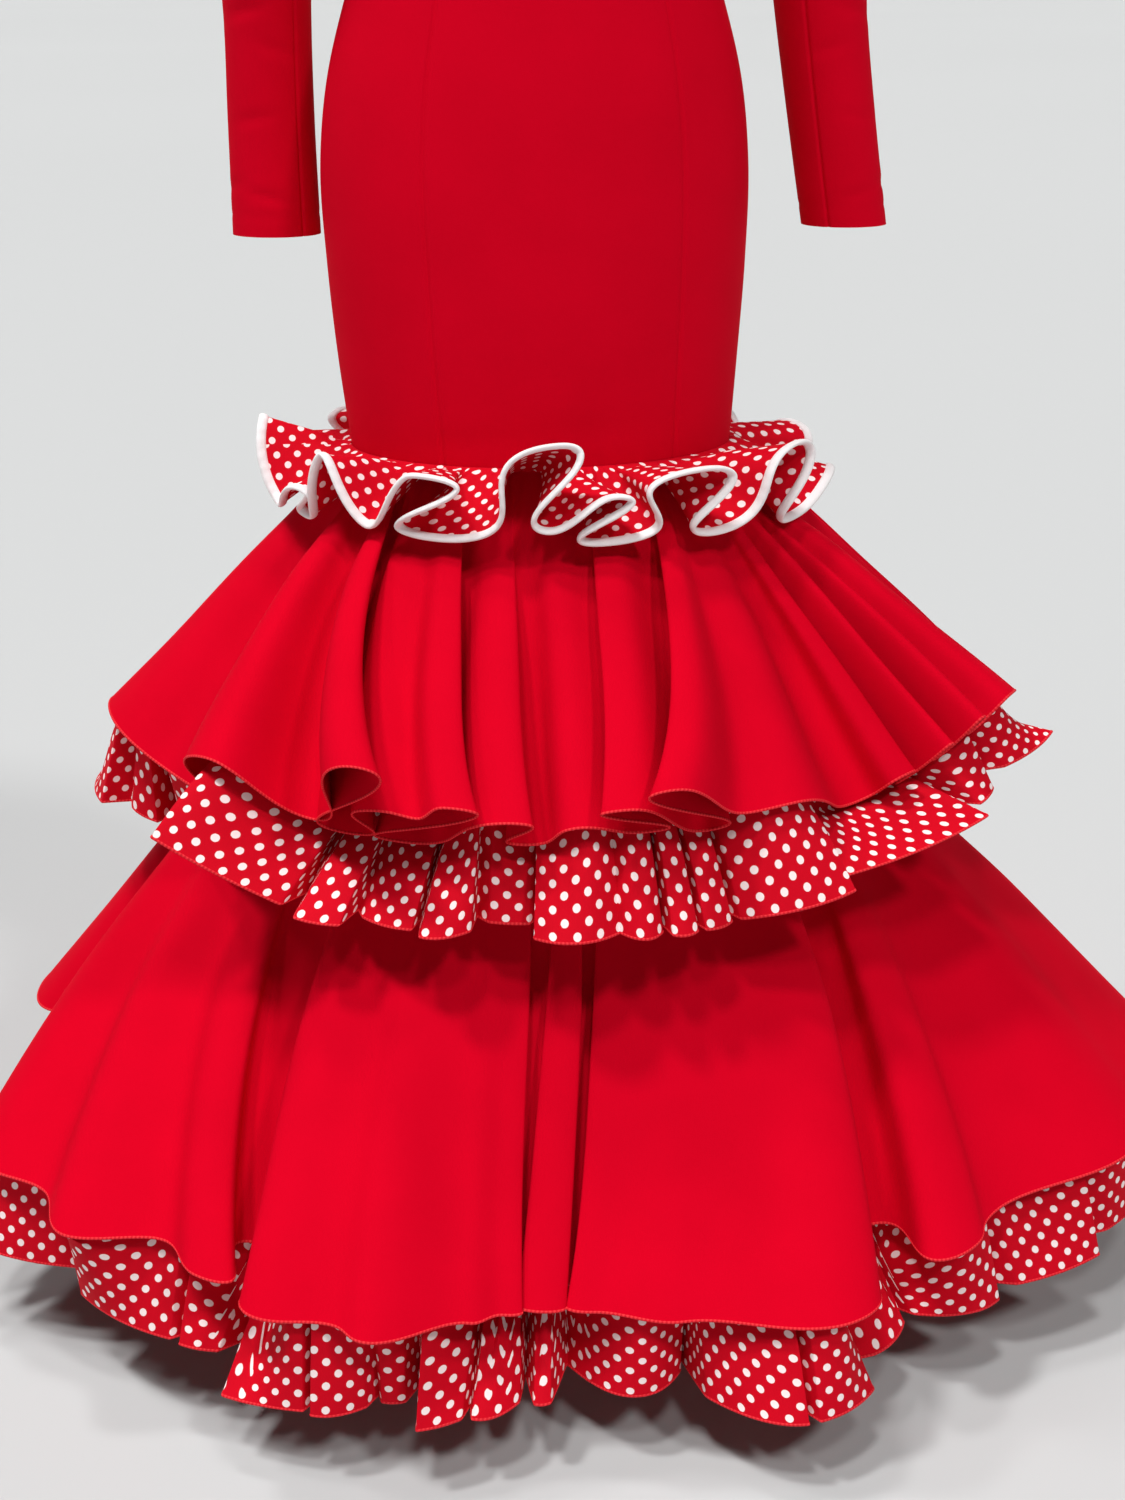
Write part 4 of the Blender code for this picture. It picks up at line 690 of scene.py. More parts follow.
FLOUNCE_COLUMNS = {"front": 520, "back": 340}
ROWS_TO_HEM = 0.85               # below 1, the rows lie closer towards the hem
GATHER_DEPTH = 0.0011
GATHERS_END = 0.16               # share of the length in which the gathers die away, and
GATHERS_BEGIN = 0.03             # in which they rise from the flat seam
# The waves of a seam's gathers: strength, count round, phase, and the strength and count of the
# sway that makes them uneven.
FLOUNCE_GATHERS = ((1.0, 91, 0.0, 1.3, 7), (0.6, 137, 2.0, 0.0, 0), (0.5, 53, 0.0, 0.7, 11))
SLACK_DEPTH = 0.0016             # of the soft unevenness half way down, and its two waves
SLACK_ROUND = (17, 2)
SLACK_DOWN = (5.0, 3.1)


def fold_line(rows):
    """One closed wave through every crest and trough: azimuths, values and places at the seam."""
    azimuths = []
    values = []
    starts = []
    phase = np.pi * np.arange(FLANK_SAMPLES) / FLANK_SAMPLES
    blend = 0.5 * (1.0 - np.cos(phase))
    share = phase / np.pi
    overhang = np.sin(2 * phase)
    for row, following in zip(rows, rows[1:] + rows[:1]):
        crest_at, crest, trough_at, trough, _, roll_after, start_at = row
        next_at, next_crest, _, _, roll_before, _, next_start = following
        if next_at < crest_at:
            next_at += 360.0
            next_start += 360.0
        azimuths.append(crest_at + (trough_at - crest_at) * share + roll_after * overhang)
        values.append(crest + (trough - crest) * blend)
        azimuths.append(trough_at + (next_at - trough_at) * share + roll_before * overhang)
        values.append(trough + (next_crest - trough) * blend)
        starts.append(np.linspace(start_at, next_start, 2 * FLANK_SAMPLES, endpoint=False))
    azimuths = np.concatenate(azimuths + [[rows[0][0] + 360.0]])
    values = np.concatenate(values + [[rows[0][1]]])
    starts = np.concatenate(starts + [[rows[0][6] + 360.0]])
    return azimuths, values, starts


def even_spacing(lines, across, along):
    """Spaces a line's samples evenly, closer where it bends. Its first two rows are the azimuth and
    the value that it bends in; across and along are their sizes in metres."""
    steps = np.hypot(np.diff(lines[0]) * across, np.diff(lines[1]) * along)
    heading = np.unwrap(np.arctan2(np.diff(lines[1]) * along, np.diff(lines[0]) * across))
    bend = np.abs(np.diff(heading, append=heading[-1]))
    steps = steps + BEND_SPACE * bend
    run = np.concatenate([[0.0], np.cumsum(steps)])
    even = np.linspace(0.0, run[-1], FOLD_SAMPLES + 1)
    return [np.interp(even, run, line) for line in lines]


def soften(values, window, gain):
    """Moving average, twice, round a closed line that gains so much each time round."""
    trend = np.linspace(0.0, gain, len(values))
    sway = (values - trend)[:-1]
    kernel = np.ones(window) / window
    for _ in range(2):
        wrapped = np.concatenate([sway[-window:], sway, sway[:window]])
        sway = np.convolve(wrapped, kernel, mode="same")[window:-window]
    return trend + np.append(sway, sway[0])


def read_round(values, share, gain=0.0):
    """Reads a closed line at shares of it. The line gains so much each time round."""
    whole = np.floor(share)
    return np.interp(share - whole, SHARES, values) + gain * whole


def share_at(azimuth, seam_at):
    """The share of a closed line at which it stands at an azimuth along its seam."""
    turn = math.floor((azimuth - seam_at[0]) / 360.0)
    return float(np.interp(azimuth - 360.0 * turn, seam_at, SHARES)) + turn


class Layer:
    """A gathered ring of cloth: its seam ring, its hem's fold line, and how the folds grow."""

    def __init__(self, ring, azimuths, steeps, starts, lengths, top_steep, grown, early):
        self.ring = ring
        self.hem_at = soften(azimuths, HEM_WINDOW, 360.0)
        self.course_at = soften(azimuths, COURSE_WINDOW, 360.0)
        self.seam_at = soften(starts, SEAM_WINDOW, 360.0)
        self.steeps = soften(steeps, HEM_WINDOW, 0.0)
        self.lengths = lengths
        self.top_steep = top_steep
        self.grown = grown
        self.early = early

    def drift(self, down):
        """Where the layer's axis lies, by how far down the cloth it is."""
        return self.ring[3] + (HEM_DRIFT - self.ring[3]) * down

    def point(self, share, down):
        """The layer's outer side: share round the cloth, down from the seam to the hem at 1."""
        seam_at = read_round(self.seam_at, share, 360.0)
        course_at = read_round(self.course_at, share, 360.0)
        hem_at = read_round(self.hem_at, share, 360.0)
        folded = down * (1.0 + self.early * (1.0 - down) ** 2)
        azimuth = seam_at + (course_at - seam_at) * down + (hem_at - course_at) * folded
        growth = np.sin(np.clip(down / self.grown, 0.0, 1.0) * np.pi / 2)
        steep = self.top_steep + (read_round(self.steeps, share) - self.top_steep) * growth
        length = read_round(self.lengths, share) * down
        reach = ring_radius(self.ring, azimuth) + length * np.cos(np.radians(steep))
        height = self.ring[2] - length * np.sin(np.radians(steep))
        return polar(azimuth, reach, height, self.drift(down))


def layer_from_steeps(ring, rows, length, top_steep, grown, early):
    """A layer of one length all round, whose folds give how steeply it falls."""
    azimuths, steeps, starts = fold_line(rows)
    reach = ring_radius(ring, 45.0) + STEEP_REACH * length
    azimuths, steeps, starts = even_spacing((azimuths, steeps, starts), math.radians(reach),
                                            math.radians(length))
    lengths = np.full(FOLD_SAMPLES + 1, length)
    return Layer(ring, azimuths, steeps, starts, lengths, top_steep, grown, early)


def layer_from_reaches(ring, rows, top_steep, grown, early):
    """A layer with a hem at its own height, whose folds give how far from the axis it reaches."""
    azimuths, reaches, starts = fold_line(rows)
    across = math.radians(np.mean(reaches))
    azimuths, reaches, starts = even_spacing((azimuths, reaches, starts), across, 1.0)
    rise = np.sin(np.radians(azimuths)) ** 2
    hem = LOWER_HEM_FRONT + (LOWER_HEM_SIDES - LOWER_HEM_FRONT) * rise
    out = reaches - ring_radius(ring, azimuths)
    drop = ring[2] - hem
    steeps = np.degrees(np.arctan2(drop, out))
    return Layer(ring, azimuths, steeps, starts, np.hypot(out, drop), top_steep, grown, early)


def layer_grid(layer, first, columns, downs):
    """Half of a layer, from the azimuth where it begins, as shares and downs and points there."""
    start = share_at(first, layer.seam_at)
    end = share_at(first + 180.0, layer.seam_at)
    shares = start + (end - start) * spread_columns(CLOSE_TO_SEAM, columns)
    share, down = np.meshgrid(shares, downs)
    return share, down, layer.point(share, down)


def gathered(share, down, waves, begin, end):
    """How far the small gathers below a seam stand out, which begin and end at shares down."""
    turn = 2 * np.pi * share
    stand = sum(strength * np.sin(times * turn + phase + sway * np.sin(sways * turn))
                for strength, times, phase, sway, sways in waves)
    return stand * np.exp(-down / end) * np.clip(down / begin, 0.0, 1.0)


def run_along(path):
    """Distance along a path to each of its points."""
    return np.concatenate([[0.0], np.cumsum(step_lengths(path, 0))])


def edge_cord(name, outside, facing, half_thick, half_deep, sides, finish):
    """A cord of oval section along the last row of a piece of cloth, with flat ends."""
    outward = outside[-1] - outside[-2]
    outward = outward / np.linalg.norm(outward, axis=-1, keepdims=True)
    path = outside[-1] - 0.5 * CLOTH * facing[-1]
    turn = np.linspace(0.0, 2 * np.pi, sides, endpoint=False)
    rings = (path[:, None] + half_thick * np.cos(turn)[None, :, None] * facing[-1][:, None]
             + half_deep * np.sin(turn)[None, :, None] * outward[:, None])
    index = np.arange(len(path) * sides).reshape(len(path), sides)
    after = np.roll(index, -1, axis=1)
    quads = np.stack([index[:-1], index[1:], after[1:], after[:-1]], -1).reshape(-1, 4)
    ends = [index[0].tolist(), index[-1][::-1].tolist()]
    places = np.broadcast_arrays(run_along(path)[:, None], (turn * half_deep)[None, :])
    return cut_piece(name, rings.reshape(-1, 3), quads.tolist() + ends, finish, SHARP_CORD,
                     np.stack(places, -1).reshape(-1, 2))


OVERLOCK_PITCH_MM = 1.6          # drawn coarser than real loops of thread, so that they show
OVERLOCK_HALF_THICK = 0.0009
OVERLOCK_HALF_DEEP = 0.0012
OVERLOCK_SIDES = 8

# Polyester overlock thread, spun: loops of thread close over the raw edge. The loops' crests are
# painted lighter and brighter than the crepe, a painted highlight where they stand clear of it.
red_overlock, tree, shader = new_material("red_overlock_thread")
place = add_node(tree, "ShaderNodeUVMap", {"uv_map": "flat_cloth"})
loops = add_node(tree, "ShaderNodeTexWave", {"wave_type": "BANDS", "bands_direction": "X"},
                 {"Vector": place.outputs["UV"], "Scale": 1000 / OVERLOCK_PITCH_MM / (2 * math.pi),
                  "Distortion": 0.6})
# Painted highlight and shade: each loop's crest takes the lighter red, the gap between loops the
# darker.
tone = add_node(tree, "ShaderNodeMix", {"data_type": "RGBA"},
                {"Factor": loops.outputs["Fac"], "A": hex_colour("#CC0A20"),
                 "B": hex_colour("#E83038")})
tree.links.new(tone.outputs["Result"], shader.inputs["Base Color"])
bump = add_node(tree, "ShaderNodeBump", inputs={"Strength": 0.5, "Distance": 0.0003,
                                                "Height": loops.outputs["Fac"]})
tree.links.new(bump.outputs["Normal"], shader.inputs["Normal"])
shader.inputs["Roughness"].default_value = 0.7
shader.inputs["Specular IOR Level"].default_value = 0.2


def overlocked(name, outside, facing):
    """The overlock over the hem of a piece of cloth, sewn on the dress with it."""
    cord = edge_cord("overlock_" + name, outside, facing, OVERLOCK_HALF_THICK, OVERLOCK_HALF_DEEP,
                     OVERLOCK_SIDES, red_overlock)
    sew_on(cord)
    return cord


def make_flounce(name, layer, rows):
    """Both halves of a flounce, each with its overlocked hem."""
    for word, first in HALVES:
        half = f"{name}_{word}"
        downs = np.linspace(0.0, 1.0, rows) ** ROWS_TO_HEM
        share, down, outside = layer_grid(layer, first, FLOUNCE_COLUMNS[word], downs)
        facing = -facing_of(outside)
        turn = 2 * np.pi * share
        slack = (np.sin(SLACK_ROUND[0] * turn + SLACK_DOWN[0] * down)
                 * np.sin(SLACK_ROUND[1] * turn + SLACK_DOWN[1] * down))
        press = GATHER_DEPTH * gathered(share, down, FLOUNCE_GATHERS, GATHERS_BEGIN, GATHERS_END)
        press = press + SLACK_DEPTH * slack * np.sin(np.pi * down)
        steps = step_lengths(outside, 1)
        run = np.concatenate([np.zeros((rows, 1)), np.cumsum(steps, axis=1)], axis=1)
        press = press - seam_groove(np.minimum(run, run[:, -1:] - run))
        outside = outside + press[..., None] * facing
        facing = -facing_of(outside)
        piece = sew_shell("cloth_" + half, outside, facing, red_crepe)
        cord = overlocked(half, outside, facing)
        sew_on(piece, half)


upper = layer_from_steeps(grown_ring(SHEATH_RING, *UPPER_SEAT), UPPER_FOLDS, UPPER_LENGTH,
                          UPPER_TOP_STEEP, UPPER_GROWN, FOLDS_EARLY)
lower = layer_from_reaches(grown_ring(BASE_RING, *LOWER_SEAT), LOWER_FOLDS, LOWER_TOP_STEEP,
                           LOWER_GROWN, FOLDS_EARLY)
make_flounce("flounce_upper", upper, UPPER_ROWS)
make_flounce("flounce_lower", lower, LOWER_ROWS)

# ---- Dotted ruffles under the flounces ----
# Straight strips of the same crepe, printed red with white dots, gathered and sewn inside each
# flounce a little above its hem. Their own hems are overlocked.

# Each row is one flat panel between two grooves, along the ruffle's hem, in degrees and mm:
# azimuth, reach from the axis and height of its left edge, then of its right edge, how far its
# middle swells out, and azimuth and reach of the groove after it, which may tuck back under it.
UPPER_PANELS = (
    (-51.5, 450, 430, -40.8, 390, 373, 2, -41.5, 352),
    (-39.2, 390, 365, -34.2, 377, 360, 3, -34.6, 344),
    (-33.0, 355, 360, -25.7, 365, 360, 4, -25.8, 340),
    (-24.2, 376, 360, -18.6, 357, 360, 8, -18.8, 328),
    (-16.9, 338, 360, -11.6, 338, 360, 1, -10.0, 322),
    (-10.9, 366, 360, 0.0, 357, 360, 15, -1.4, 332),
    (-0.6, 357, 360, 4.8, 364, 360, 15, 5.2, 342),
    (5.6, 372, 360, 9.0, 369, 360, 5, 9.2, 344),
    (9.9, 369, 360, 14.0, 361, 360, 4, 14.5, 338),
    (15.2, 360, 360, 28.8, 390, 376, 7, 27.3, 354),
    (29.8, 367, 378, 50.0, 416, 403, 2, 50.8, 366),
    (52.0, 402, 405, 56.0, 405, 411, 2, 57.0, 376),
    (58.5, 409, 424, 67.5, 440, 438, 4, 69.0, 378),
    (70.5, 372, 372, 79.5, 376, 350, 3, 80.6, 358),
    (82.0, 380, 335, 92.0, 388, 335, 8, 93.0, 345),
    (94.5, 396, 345, 105.0, 402, 352, 10, 106.5, 350),
    (107.5, 372, 332, 117.0, 380, 338, 8, 118.5, 345),
    (119.5, 402, 356, 129.0, 396, 356, 8, 128.5, 345),
    (131.5, 376, 342, 142.5, 366, 335, 6, 144.0, 325),
    (145.5, 350, 330, 155.0, 352, 332, 6, 155.0, 312),
    (157.5, 368, 345, 168.5, 402, 375, 4, 169.0, 350),
    (171.0, 385, 362, 181.0, 356, 338, 4, 181.5, 322),
    (183.5, 362, 343, 193.0, 352, 336, 8, 194.0, 315),
    (196.0, 342, 328, 205.5, 372, 346, 2, 206.0, 340),
    (208.0, 400, 368, 217.5, 390, 358, 8, 217.0, 342),
    (219.5, 372, 342, 229.0, 384, 348, 2, 230.0, 342),
    (231.0, 396, 354, 241.0, 372, 335, 6, 241.5, 330),
    (243.5, 360, 325, 254.0, 398, 346, 2, 254.5, 350),
    (256.5, 412, 356, 271.0, 400, 360, 4, 270.5, 374),
    (272.8, 374, 358, 276.0, 354, 350, 3, 272.5, 332),
    (277.5, 334, 350, 298.0, 338, 365, 0, 304.5, 358),
)
LOWER_PANELS = (
    (-56.3, 516, 42, -45.0, 506, 38, 5, -44.5, 494),
    (-43.9, 506, 37, -40.3, 495, 36, 2, -39.4, 452),
    (-37.3, 528, 25, -29.9, 520, 25, 2, -29.6, 505),
    (-29.1, 523, 25, -25.0, 500, 25, 6, -24.6, 482),
    (-24.0, 491, 25, -21.9, 486, 25, 2, -21.2, 454),
    (-20.0, 520, 25, -16.5, 500, 25, 2, -16.1, 482),
    (-15.7, 499, 25, -11.7, 475, 25, 8, -11.4, 438),
    (-10.4, 477, 25, -8.8, 475, 25, 2, -7.2, 424),
    (-5.3, 446, 25, 4.3, 444, 25, 28, 4.6, 412),
    (5.3, 482, 25, 12.2, 539, 25, 12, 12.6, 522),
    (13.2, 539, 25, 19.6, 520, 25, 5, 20.4, 482),
    (22.4, 487, 28, 28.0, 470, 32, 5, 28.2, 436),
    (29.1, 470, 35, 37.2, 504, 36, 12, 37.8, 472),
    (39.8, 505, 39, 48.2, 543, 44, 3, 48.4, 506),
    (52.0, 536, 46, 62.0, 556, 52, 4, 62.5, 515),
    (64.5, 546, 54, 75.0, 552, 58, 6, 75.5, 515),
    (77.5, 530, 57, 87.5, 482, 59, 2, 88.0, 452),
    (90.0, 474, 60, 101.0, 505, 56, 6, 101.0, 476),
    (103.0, 526, 55, 114.0, 530, 48, 16, 113.5, 486),
    (116.5, 500, 44, 127.0, 486, 42, 4, 127.5, 456),
    (129.5, 506, 37, 142.0, 530, 30, 14, 141.5, 486),
    (144.0, 496, 28, 154.5, 500, 24, 4, 155.0, 468),
    (157.0, 522, 22, 167.5, 506, 16, 16, 167.0, 468),
    (170.0, 482, 18, 180.0, 502, 14, 2, 180.5, 472),
    (182.5, 528, 12, 193.0, 516, 14, 16, 192.5, 476),
    (195.5, 492, 18, 206.0, 500, 22, 2, 206.5, 468),
    (208.5, 520, 24, 222.0, 526, 32, 16, 221.5, 484),
    (224.0, 496, 34, 235.0, 472, 44, 2, 235.5, 442),
    (238.0, 474, 47, 249.0, 502, 54, 3, 249.5, 474),
    (251.5, 474, 60, 263.0, 458, 62, 6, 263.5, 430),
    (266.0, 452, 60, 277.5, 456, 60, 0, 278.0, 432),
    (281.0, 492, 54, 289.5, 556, 52, 6, 289.5, 516),
    (291.8, 560, 50, 300.4, 499, 45, 6, 301.2, 468),
)
UPPER_SEWN_AT = 0.84             # where the ruffle is sewn, as a share of the flounce's length
LOWER_SEWN_AT = 0.88
RUFFLE_SPREAD = 2.0              # degrees each way that a fold has to be wide to take the ruffle in
RUFFLE_EVENS = 3.0               # degrees each way that the line of its folds evens out
RUFFLE_REACH_IN = 0.034          # deepest that its grooves go at the flounce's hem,
RUFFLE_GROOVES = (0.15, 0.75)    # how much of that shows at the seam, and what the hem adds
RUFFLE_WALL = 0.0012             # the flounce's wall in the solids, inside which the ruffle is sewn
RUFFLE_SEAT = 0.0008             # how far inside that it lies at its seam
RUFFLE_HANG = 0.0060             # and at the flounce's hem
RUFFLE_DROP = 1.15               # above 1, the strip turns down late below the flounce's hem
RUFFLE_COLUMNS = {"front": 900, "back": 560}
RUFFLE_ROWS = (7, 13)            # above the flounce's hem and below it
RUFFLE_SEAM_WINDOW = FOLD_SAMPLES // 24
PANEL_FLAT = (0.3, 0.7)          # the flat middle of a panel, as shares of its width
AZIMUTH_STEP = 0.5               # degrees between the places where the folds over it are read
SPLINE_STEPS = 12


def panel_line(panels):
    """A ruffle's hem as one closed smooth line: azimuths, reaches and heights along it."""
    table = np.array(panels)
    left = table[:, 0:3]
    right = table[:, 3:6]
    groove = np.column_stack([table[:, 7:9], 0.5 * (right[:, 2] + np.roll(left[:, 2], -1))])
    swell = table[:, 6:7] * (0.0, 1.0, 0.0)
    near = left + PANEL_FLAT[0] * (right - left) + swell
    far = left + PANEL_FLAT[1] * (right - left) + swell
    corners = np.stack([left, left, near, far, right, right, groove, groove], 1).reshape(-1, 3)
    turn = np.array([360.0, 0.0, 0.0])
    corners = np.concatenate([corners[-1:] - turn, corners, corners[:3] + turn])
    t = np.linspace(0.0, 1.0, SPLINE_STEPS, endpoint=False)
    weights = np.stack([(1 - t) ** 3, 3 * t ** 3 - 6 * t ** 2 + 4,
                        -3 * t ** 3 + 3 * t ** 2 + 3 * t + 1, t ** 3]) / 6.0
    pulls = np.stack([corners[k:len(corners) - 3 + k] for k in range(4)])
    line = np.einsum("ks,kic->isc", weights, pulls).reshape(-1, 3)
    line = line[:len(line) - SPLINE_STEPS + 1]
    return line[:, 0], 0.001 * line[:, 1], 0.001 * line[:, 2]


def smooth_round(values, spread):
    """Moving average of values held at every step all round, over spread degrees each way."""
    reach = int(round(spread / AZIMUTH_STEP))
    wrapped = np.concatenate([values[-reach:], values, values[:reach]])
    return np.convolve(wrapped, np.ones(2 * reach + 1) / (2 * reach + 1), mode="valid")


class Ruffle:
    """A gathered strip sewn under a layer: it hangs inside the folds and shows below them."""

    def __init__(self, layer, sewn_at, panels):
        self.layer = layer
        self.sewn_at = sewn_at
        line = panel_line(panels)
        self.hem_at, self.reaches, self.heights = even_spacing(
            line, math.radians(float(np.mean(line[1]))), 1.0)
        self.seam_at = soften(self.hem_at, RUFFLE_SEAM_WINDOW, 360.0)
        self.azimuths = np.arange(0.0, 360.0, AZIMUTH_STEP)
        self.length = float(np.mean(layer.lengths))
        self.sewn_steep = self.inside(sewn_at)
        self.hem_steep = self.inside(1.0) + math.degrees((RUFFLE_WALL + RUFFLE_HANG) / self.length)
        away = np.abs(degrees_from(self.hem_at[None, :], self.azimuths[:, None]))
        outermost = np.where(away < RUFFLE_EVENS, self.reaches[None, :], 0.0).max(axis=1)
        outermost = smooth_round(outermost, RUFFLE_EVENS)
        depth = self.at_azimuth(outermost, self.hem_at) - self.reaches
        self.inward = RUFFLE_REACH_IN * np.tanh(np.maximum(depth, 0.0) / RUFFLE_REACH_IN)

    def at_azimuth(self, values, azimuth):
        """Reads values that are held at every step all round."""
        return np.interp(azimuth % 360.0, self.azimuths, values, period=360.0)

    def inside(self, down):
        """Steepness of the layer's innermost fold at each azimuth, at one level down."""
        share = np.linspace(0.0, 1.0, FOLD_SAMPLES, endpoint=False)
        points = self.layer.point(share, np.full(FOLD_SAMPLES, down))
        x = points[:, 0] - self.layer.drift(down)
        azimuth = np.degrees(np.arctan2(x, -points[:, 1])) % 360.0
        out = np.hypot(x, points[:, 1]) - ring_radius(self.layer.ring, azimuth)
        drop = self.layer.ring[2] - SHOULDER_LINE - points[:, 2]
        steep = np.degrees(np.arctan2(drop, out))
        away = np.abs(degrees_from(azimuth[None, :], self.azimuths[:, None]))
        deepest = np.where(away < RUFFLE_SPREAD, steep[None, :], -90.0).max(axis=1)
        return smooth_round(deepest, RUFFLE_SPREAD)

    def length_at(self, azimuth):
        """The layer's length by azimuth, along its hem."""
        hem_at = self.layer.hem_at[:-1] % 360.0
        order = np.argsort(hem_at)
        return np.interp(azimuth % 360.0, hem_at[order], self.layer.lengths[:-1][order],
                         period=360.0)

    def point(self, share, down):
        """The ruffle's outer side: down from its seam to the flounce's hem, 1, and its own, 2."""
        fold = np.clip((down - self.sewn_at) / (1.0 - self.sewn_at), 0.0, 1.0)
        past = np.clip(down - 1.0, 0.0, 1.0)
        seam_at = read_round(self.seam_at, share, 360.0)
        azimuth = seam_at + (read_round(self.hem_at, share, 360.0) - seam_at) * fold
        sewn = self.at_azimuth(self.sewn_steep, azimuth)
        hem = self.at_azimuth(self.hem_steep, azimuth)
        seat = math.degrees((RUFFLE_WALL + RUFFLE_SEAT) / (self.length * self.sewn_at))
        steep = sewn + seat + (hem - sewn - seat) * fold
        run = self.length_at(azimuth) * np.minimum(down, 1.0)
        grooves = RUFFLE_GROOVES[0] + RUFFLE_GROOVES[1] * fold
        inward = read_round(self.inward, share) * grooves
        reach = ring_radius(self.layer.ring, azimuth) + run * np.cos(np.radians(steep)) - inward
        height = self.layer.ring[2] - run * np.sin(np.radians(steep))
        reach = reach + (read_round(self.reaches, share) - reach) * past
        height = height + (read_round(self.heights, share) - height) * past ** RUFFLE_DROP
        return polar(azimuth, reach, height, self.layer.drift(np.minimum(down, 1.0)))


DOT_MM = 6.1                     # across a dot
DOT_PITCH_MM = 19.0              # between dots in a row, with the next row half way between them
DOT_EDGE_MM = (0.05, 0.55)       # where the print fades out, past half a dot


def dot_lattice(tree, place, shift):
    """Distance in mm from the nearest dot's middle, for the rows that are shifted by a share."""
    moved = add_node(tree, "ShaderNodeVectorMath", {"operation": "MULTIPLY_ADD"},
                     {0: place, 1: (1000 / DOT_PITCH_MM,) * 3, 2: (shift, shift, 0.0)})
    part = add_node(tree, "ShaderNodeVectorMath", {"operation": "FRACTION"}, {0: moved.outputs[0]})
    centred = add_node(tree, "ShaderNodeVectorMath", {"operation": "SUBTRACT"},
                       {0: part.outputs[0], 1: (0.5, 0.5, 0.0)})
    split = add_node(tree, "ShaderNodeSeparateXYZ", inputs={0: centred.outputs[0]})
    level = add_node(tree, "ShaderNodeCombineXYZ",
                     inputs={0: split.outputs[0], 1: split.outputs[1]})
    span = add_node(tree, "ShaderNodeVectorMath", {"operation": "LENGTH"}, {0: level.outputs[0]})
    return add_node(tree, "ShaderNodeMath", {"operation": "MULTIPLY"},
                    {0: span.outputs["Value"], 1: DOT_PITCH_MM}).outputs[0]


# The same crepe, printed: a red ground with white pigment dots that sit on the surface, so they are
# a little smoother, take up the red through the weave, and have edges that the pebble makes soft.
dotted_crepe, tree, shader = new_material("dotted_polyester_crepe")
_, grain = crepe_grain(tree, shader)
cloth_place = add_node(tree, "ShaderNodeUVMap", {"uv_map": "flat_cloth"})
nearest = add_node(tree, "ShaderNodeMath", {"operation": "MINIMUM"},
                   {0: dot_lattice(tree, cloth_place.outputs["UV"], 0.0),
                    1: dot_lattice(tree, cloth_place.outputs["UV"], 0.5)})
ragged = add_node(tree, "ShaderNodeMath", {"operation": "MULTIPLY_ADD"},
                  {0: grain.outputs["Fac"], 1: 0.5, 2: nearest.outputs[0]})
dot = add_node(tree, "ShaderNodeMapRange", {"interpolation_type": "SMOOTHSTEP"},
               {"Value": ragged.outputs[0], "From Min": DOT_MM / 2 + DOT_EDGE_MM[0],
                "From Max": DOT_MM / 2 + DOT_EDGE_MM[1], "To Min": 1.0, "To Max": 0.0})
print_colour = add_node(tree, "ShaderNodeMix", {"data_type": "RGBA"},
                        {"Factor": dot.outputs["Result"], "A": hex_colour("#CC001C"),
                         "B": hex_colour("#FCE9E8")})
tree.links.new(print_colour.outputs["Result"], shader.inputs["Base Color"])
shader.inputs["Roughness"].default_value = 0.8
shader.inputs["Specular IOR Level"].default_value = 0.1


def make_dot_ruffle(name, ruffle):
    """Both halves of a dotted ruffle, each with its overlocked hem."""
    above, below = RUFFLE_ROWS
    downs = np.concatenate([np.linspace(ruffle.sewn_at, 1.0, above)[:-1],
                            np.linspace(1.0, 2.0, below)])
    for word, first in HALVES:
        half = f"{name}_{word}"
        shares = np.linspace(share_at(first, ruffle.seam_at),
                             share_at(first + 180.0, ruffle.seam_at), RUFFLE_COLUMNS[word])
        outside = ruffle.point(*np.meshgrid(shares, downs))
        facing = -facing_of(outside)
        run = run_along(outside[-1])
        fall = np.concatenate([[0.0], np.cumsum(step_lengths(outside, 0).mean(axis=1))])
        flat_at = np.stack(np.broadcast_arrays(run[None, :], -fall[:, None]), -1)
        piece = sew_shell("cloth_" + half, outside, facing, dotted_crepe, flat_at)
        cord = overlocked(half, outside, facing)
        sew_on(piece, half)


make_dot_ruffle("dot_ruffle_upper", Ruffle(upper, UPPER_SEWN_AT, UPPER_PANELS))
make_dot_ruffle("dot_ruffle_lower", Ruffle(lower, LOWER_SEWN_AT, LOWER_PANELS))

# ---- Bound ruffle and its binding ----
# A short dotted flounce, cut from full circles so that it stands out in loops, sewn into the hip
# seam above the upper flounce. Its edge is wrapped in a padded white binding.

BOUND_SEAT = (0.0006, 0.0016)
BOUND_LENGTH = 0.088             # with its binding
BOUND_TOP_STEEP = 12.0
BOUND_GROWN = 0.35
BOUND_EARLY = 0.0
BOUND_ROWS = 22
BOUND_COLUMNS = {"front": 760, "back": 460}
BOUND_GATHER_DEPTH = 0.0009
BOUND_GATHERS_END = 0.22
BOUND_GATHERS_BEGIN = 0.06
BOUND_GATHERS = ((1.0, 83, 0.0, 1.1, 9), (0.7, 61, 2.0, 0.0, 0))
BINDING_DEPTH = 0.0085
BINDING_THICKNESS = 0.0046
BINDING_SIDES = 16
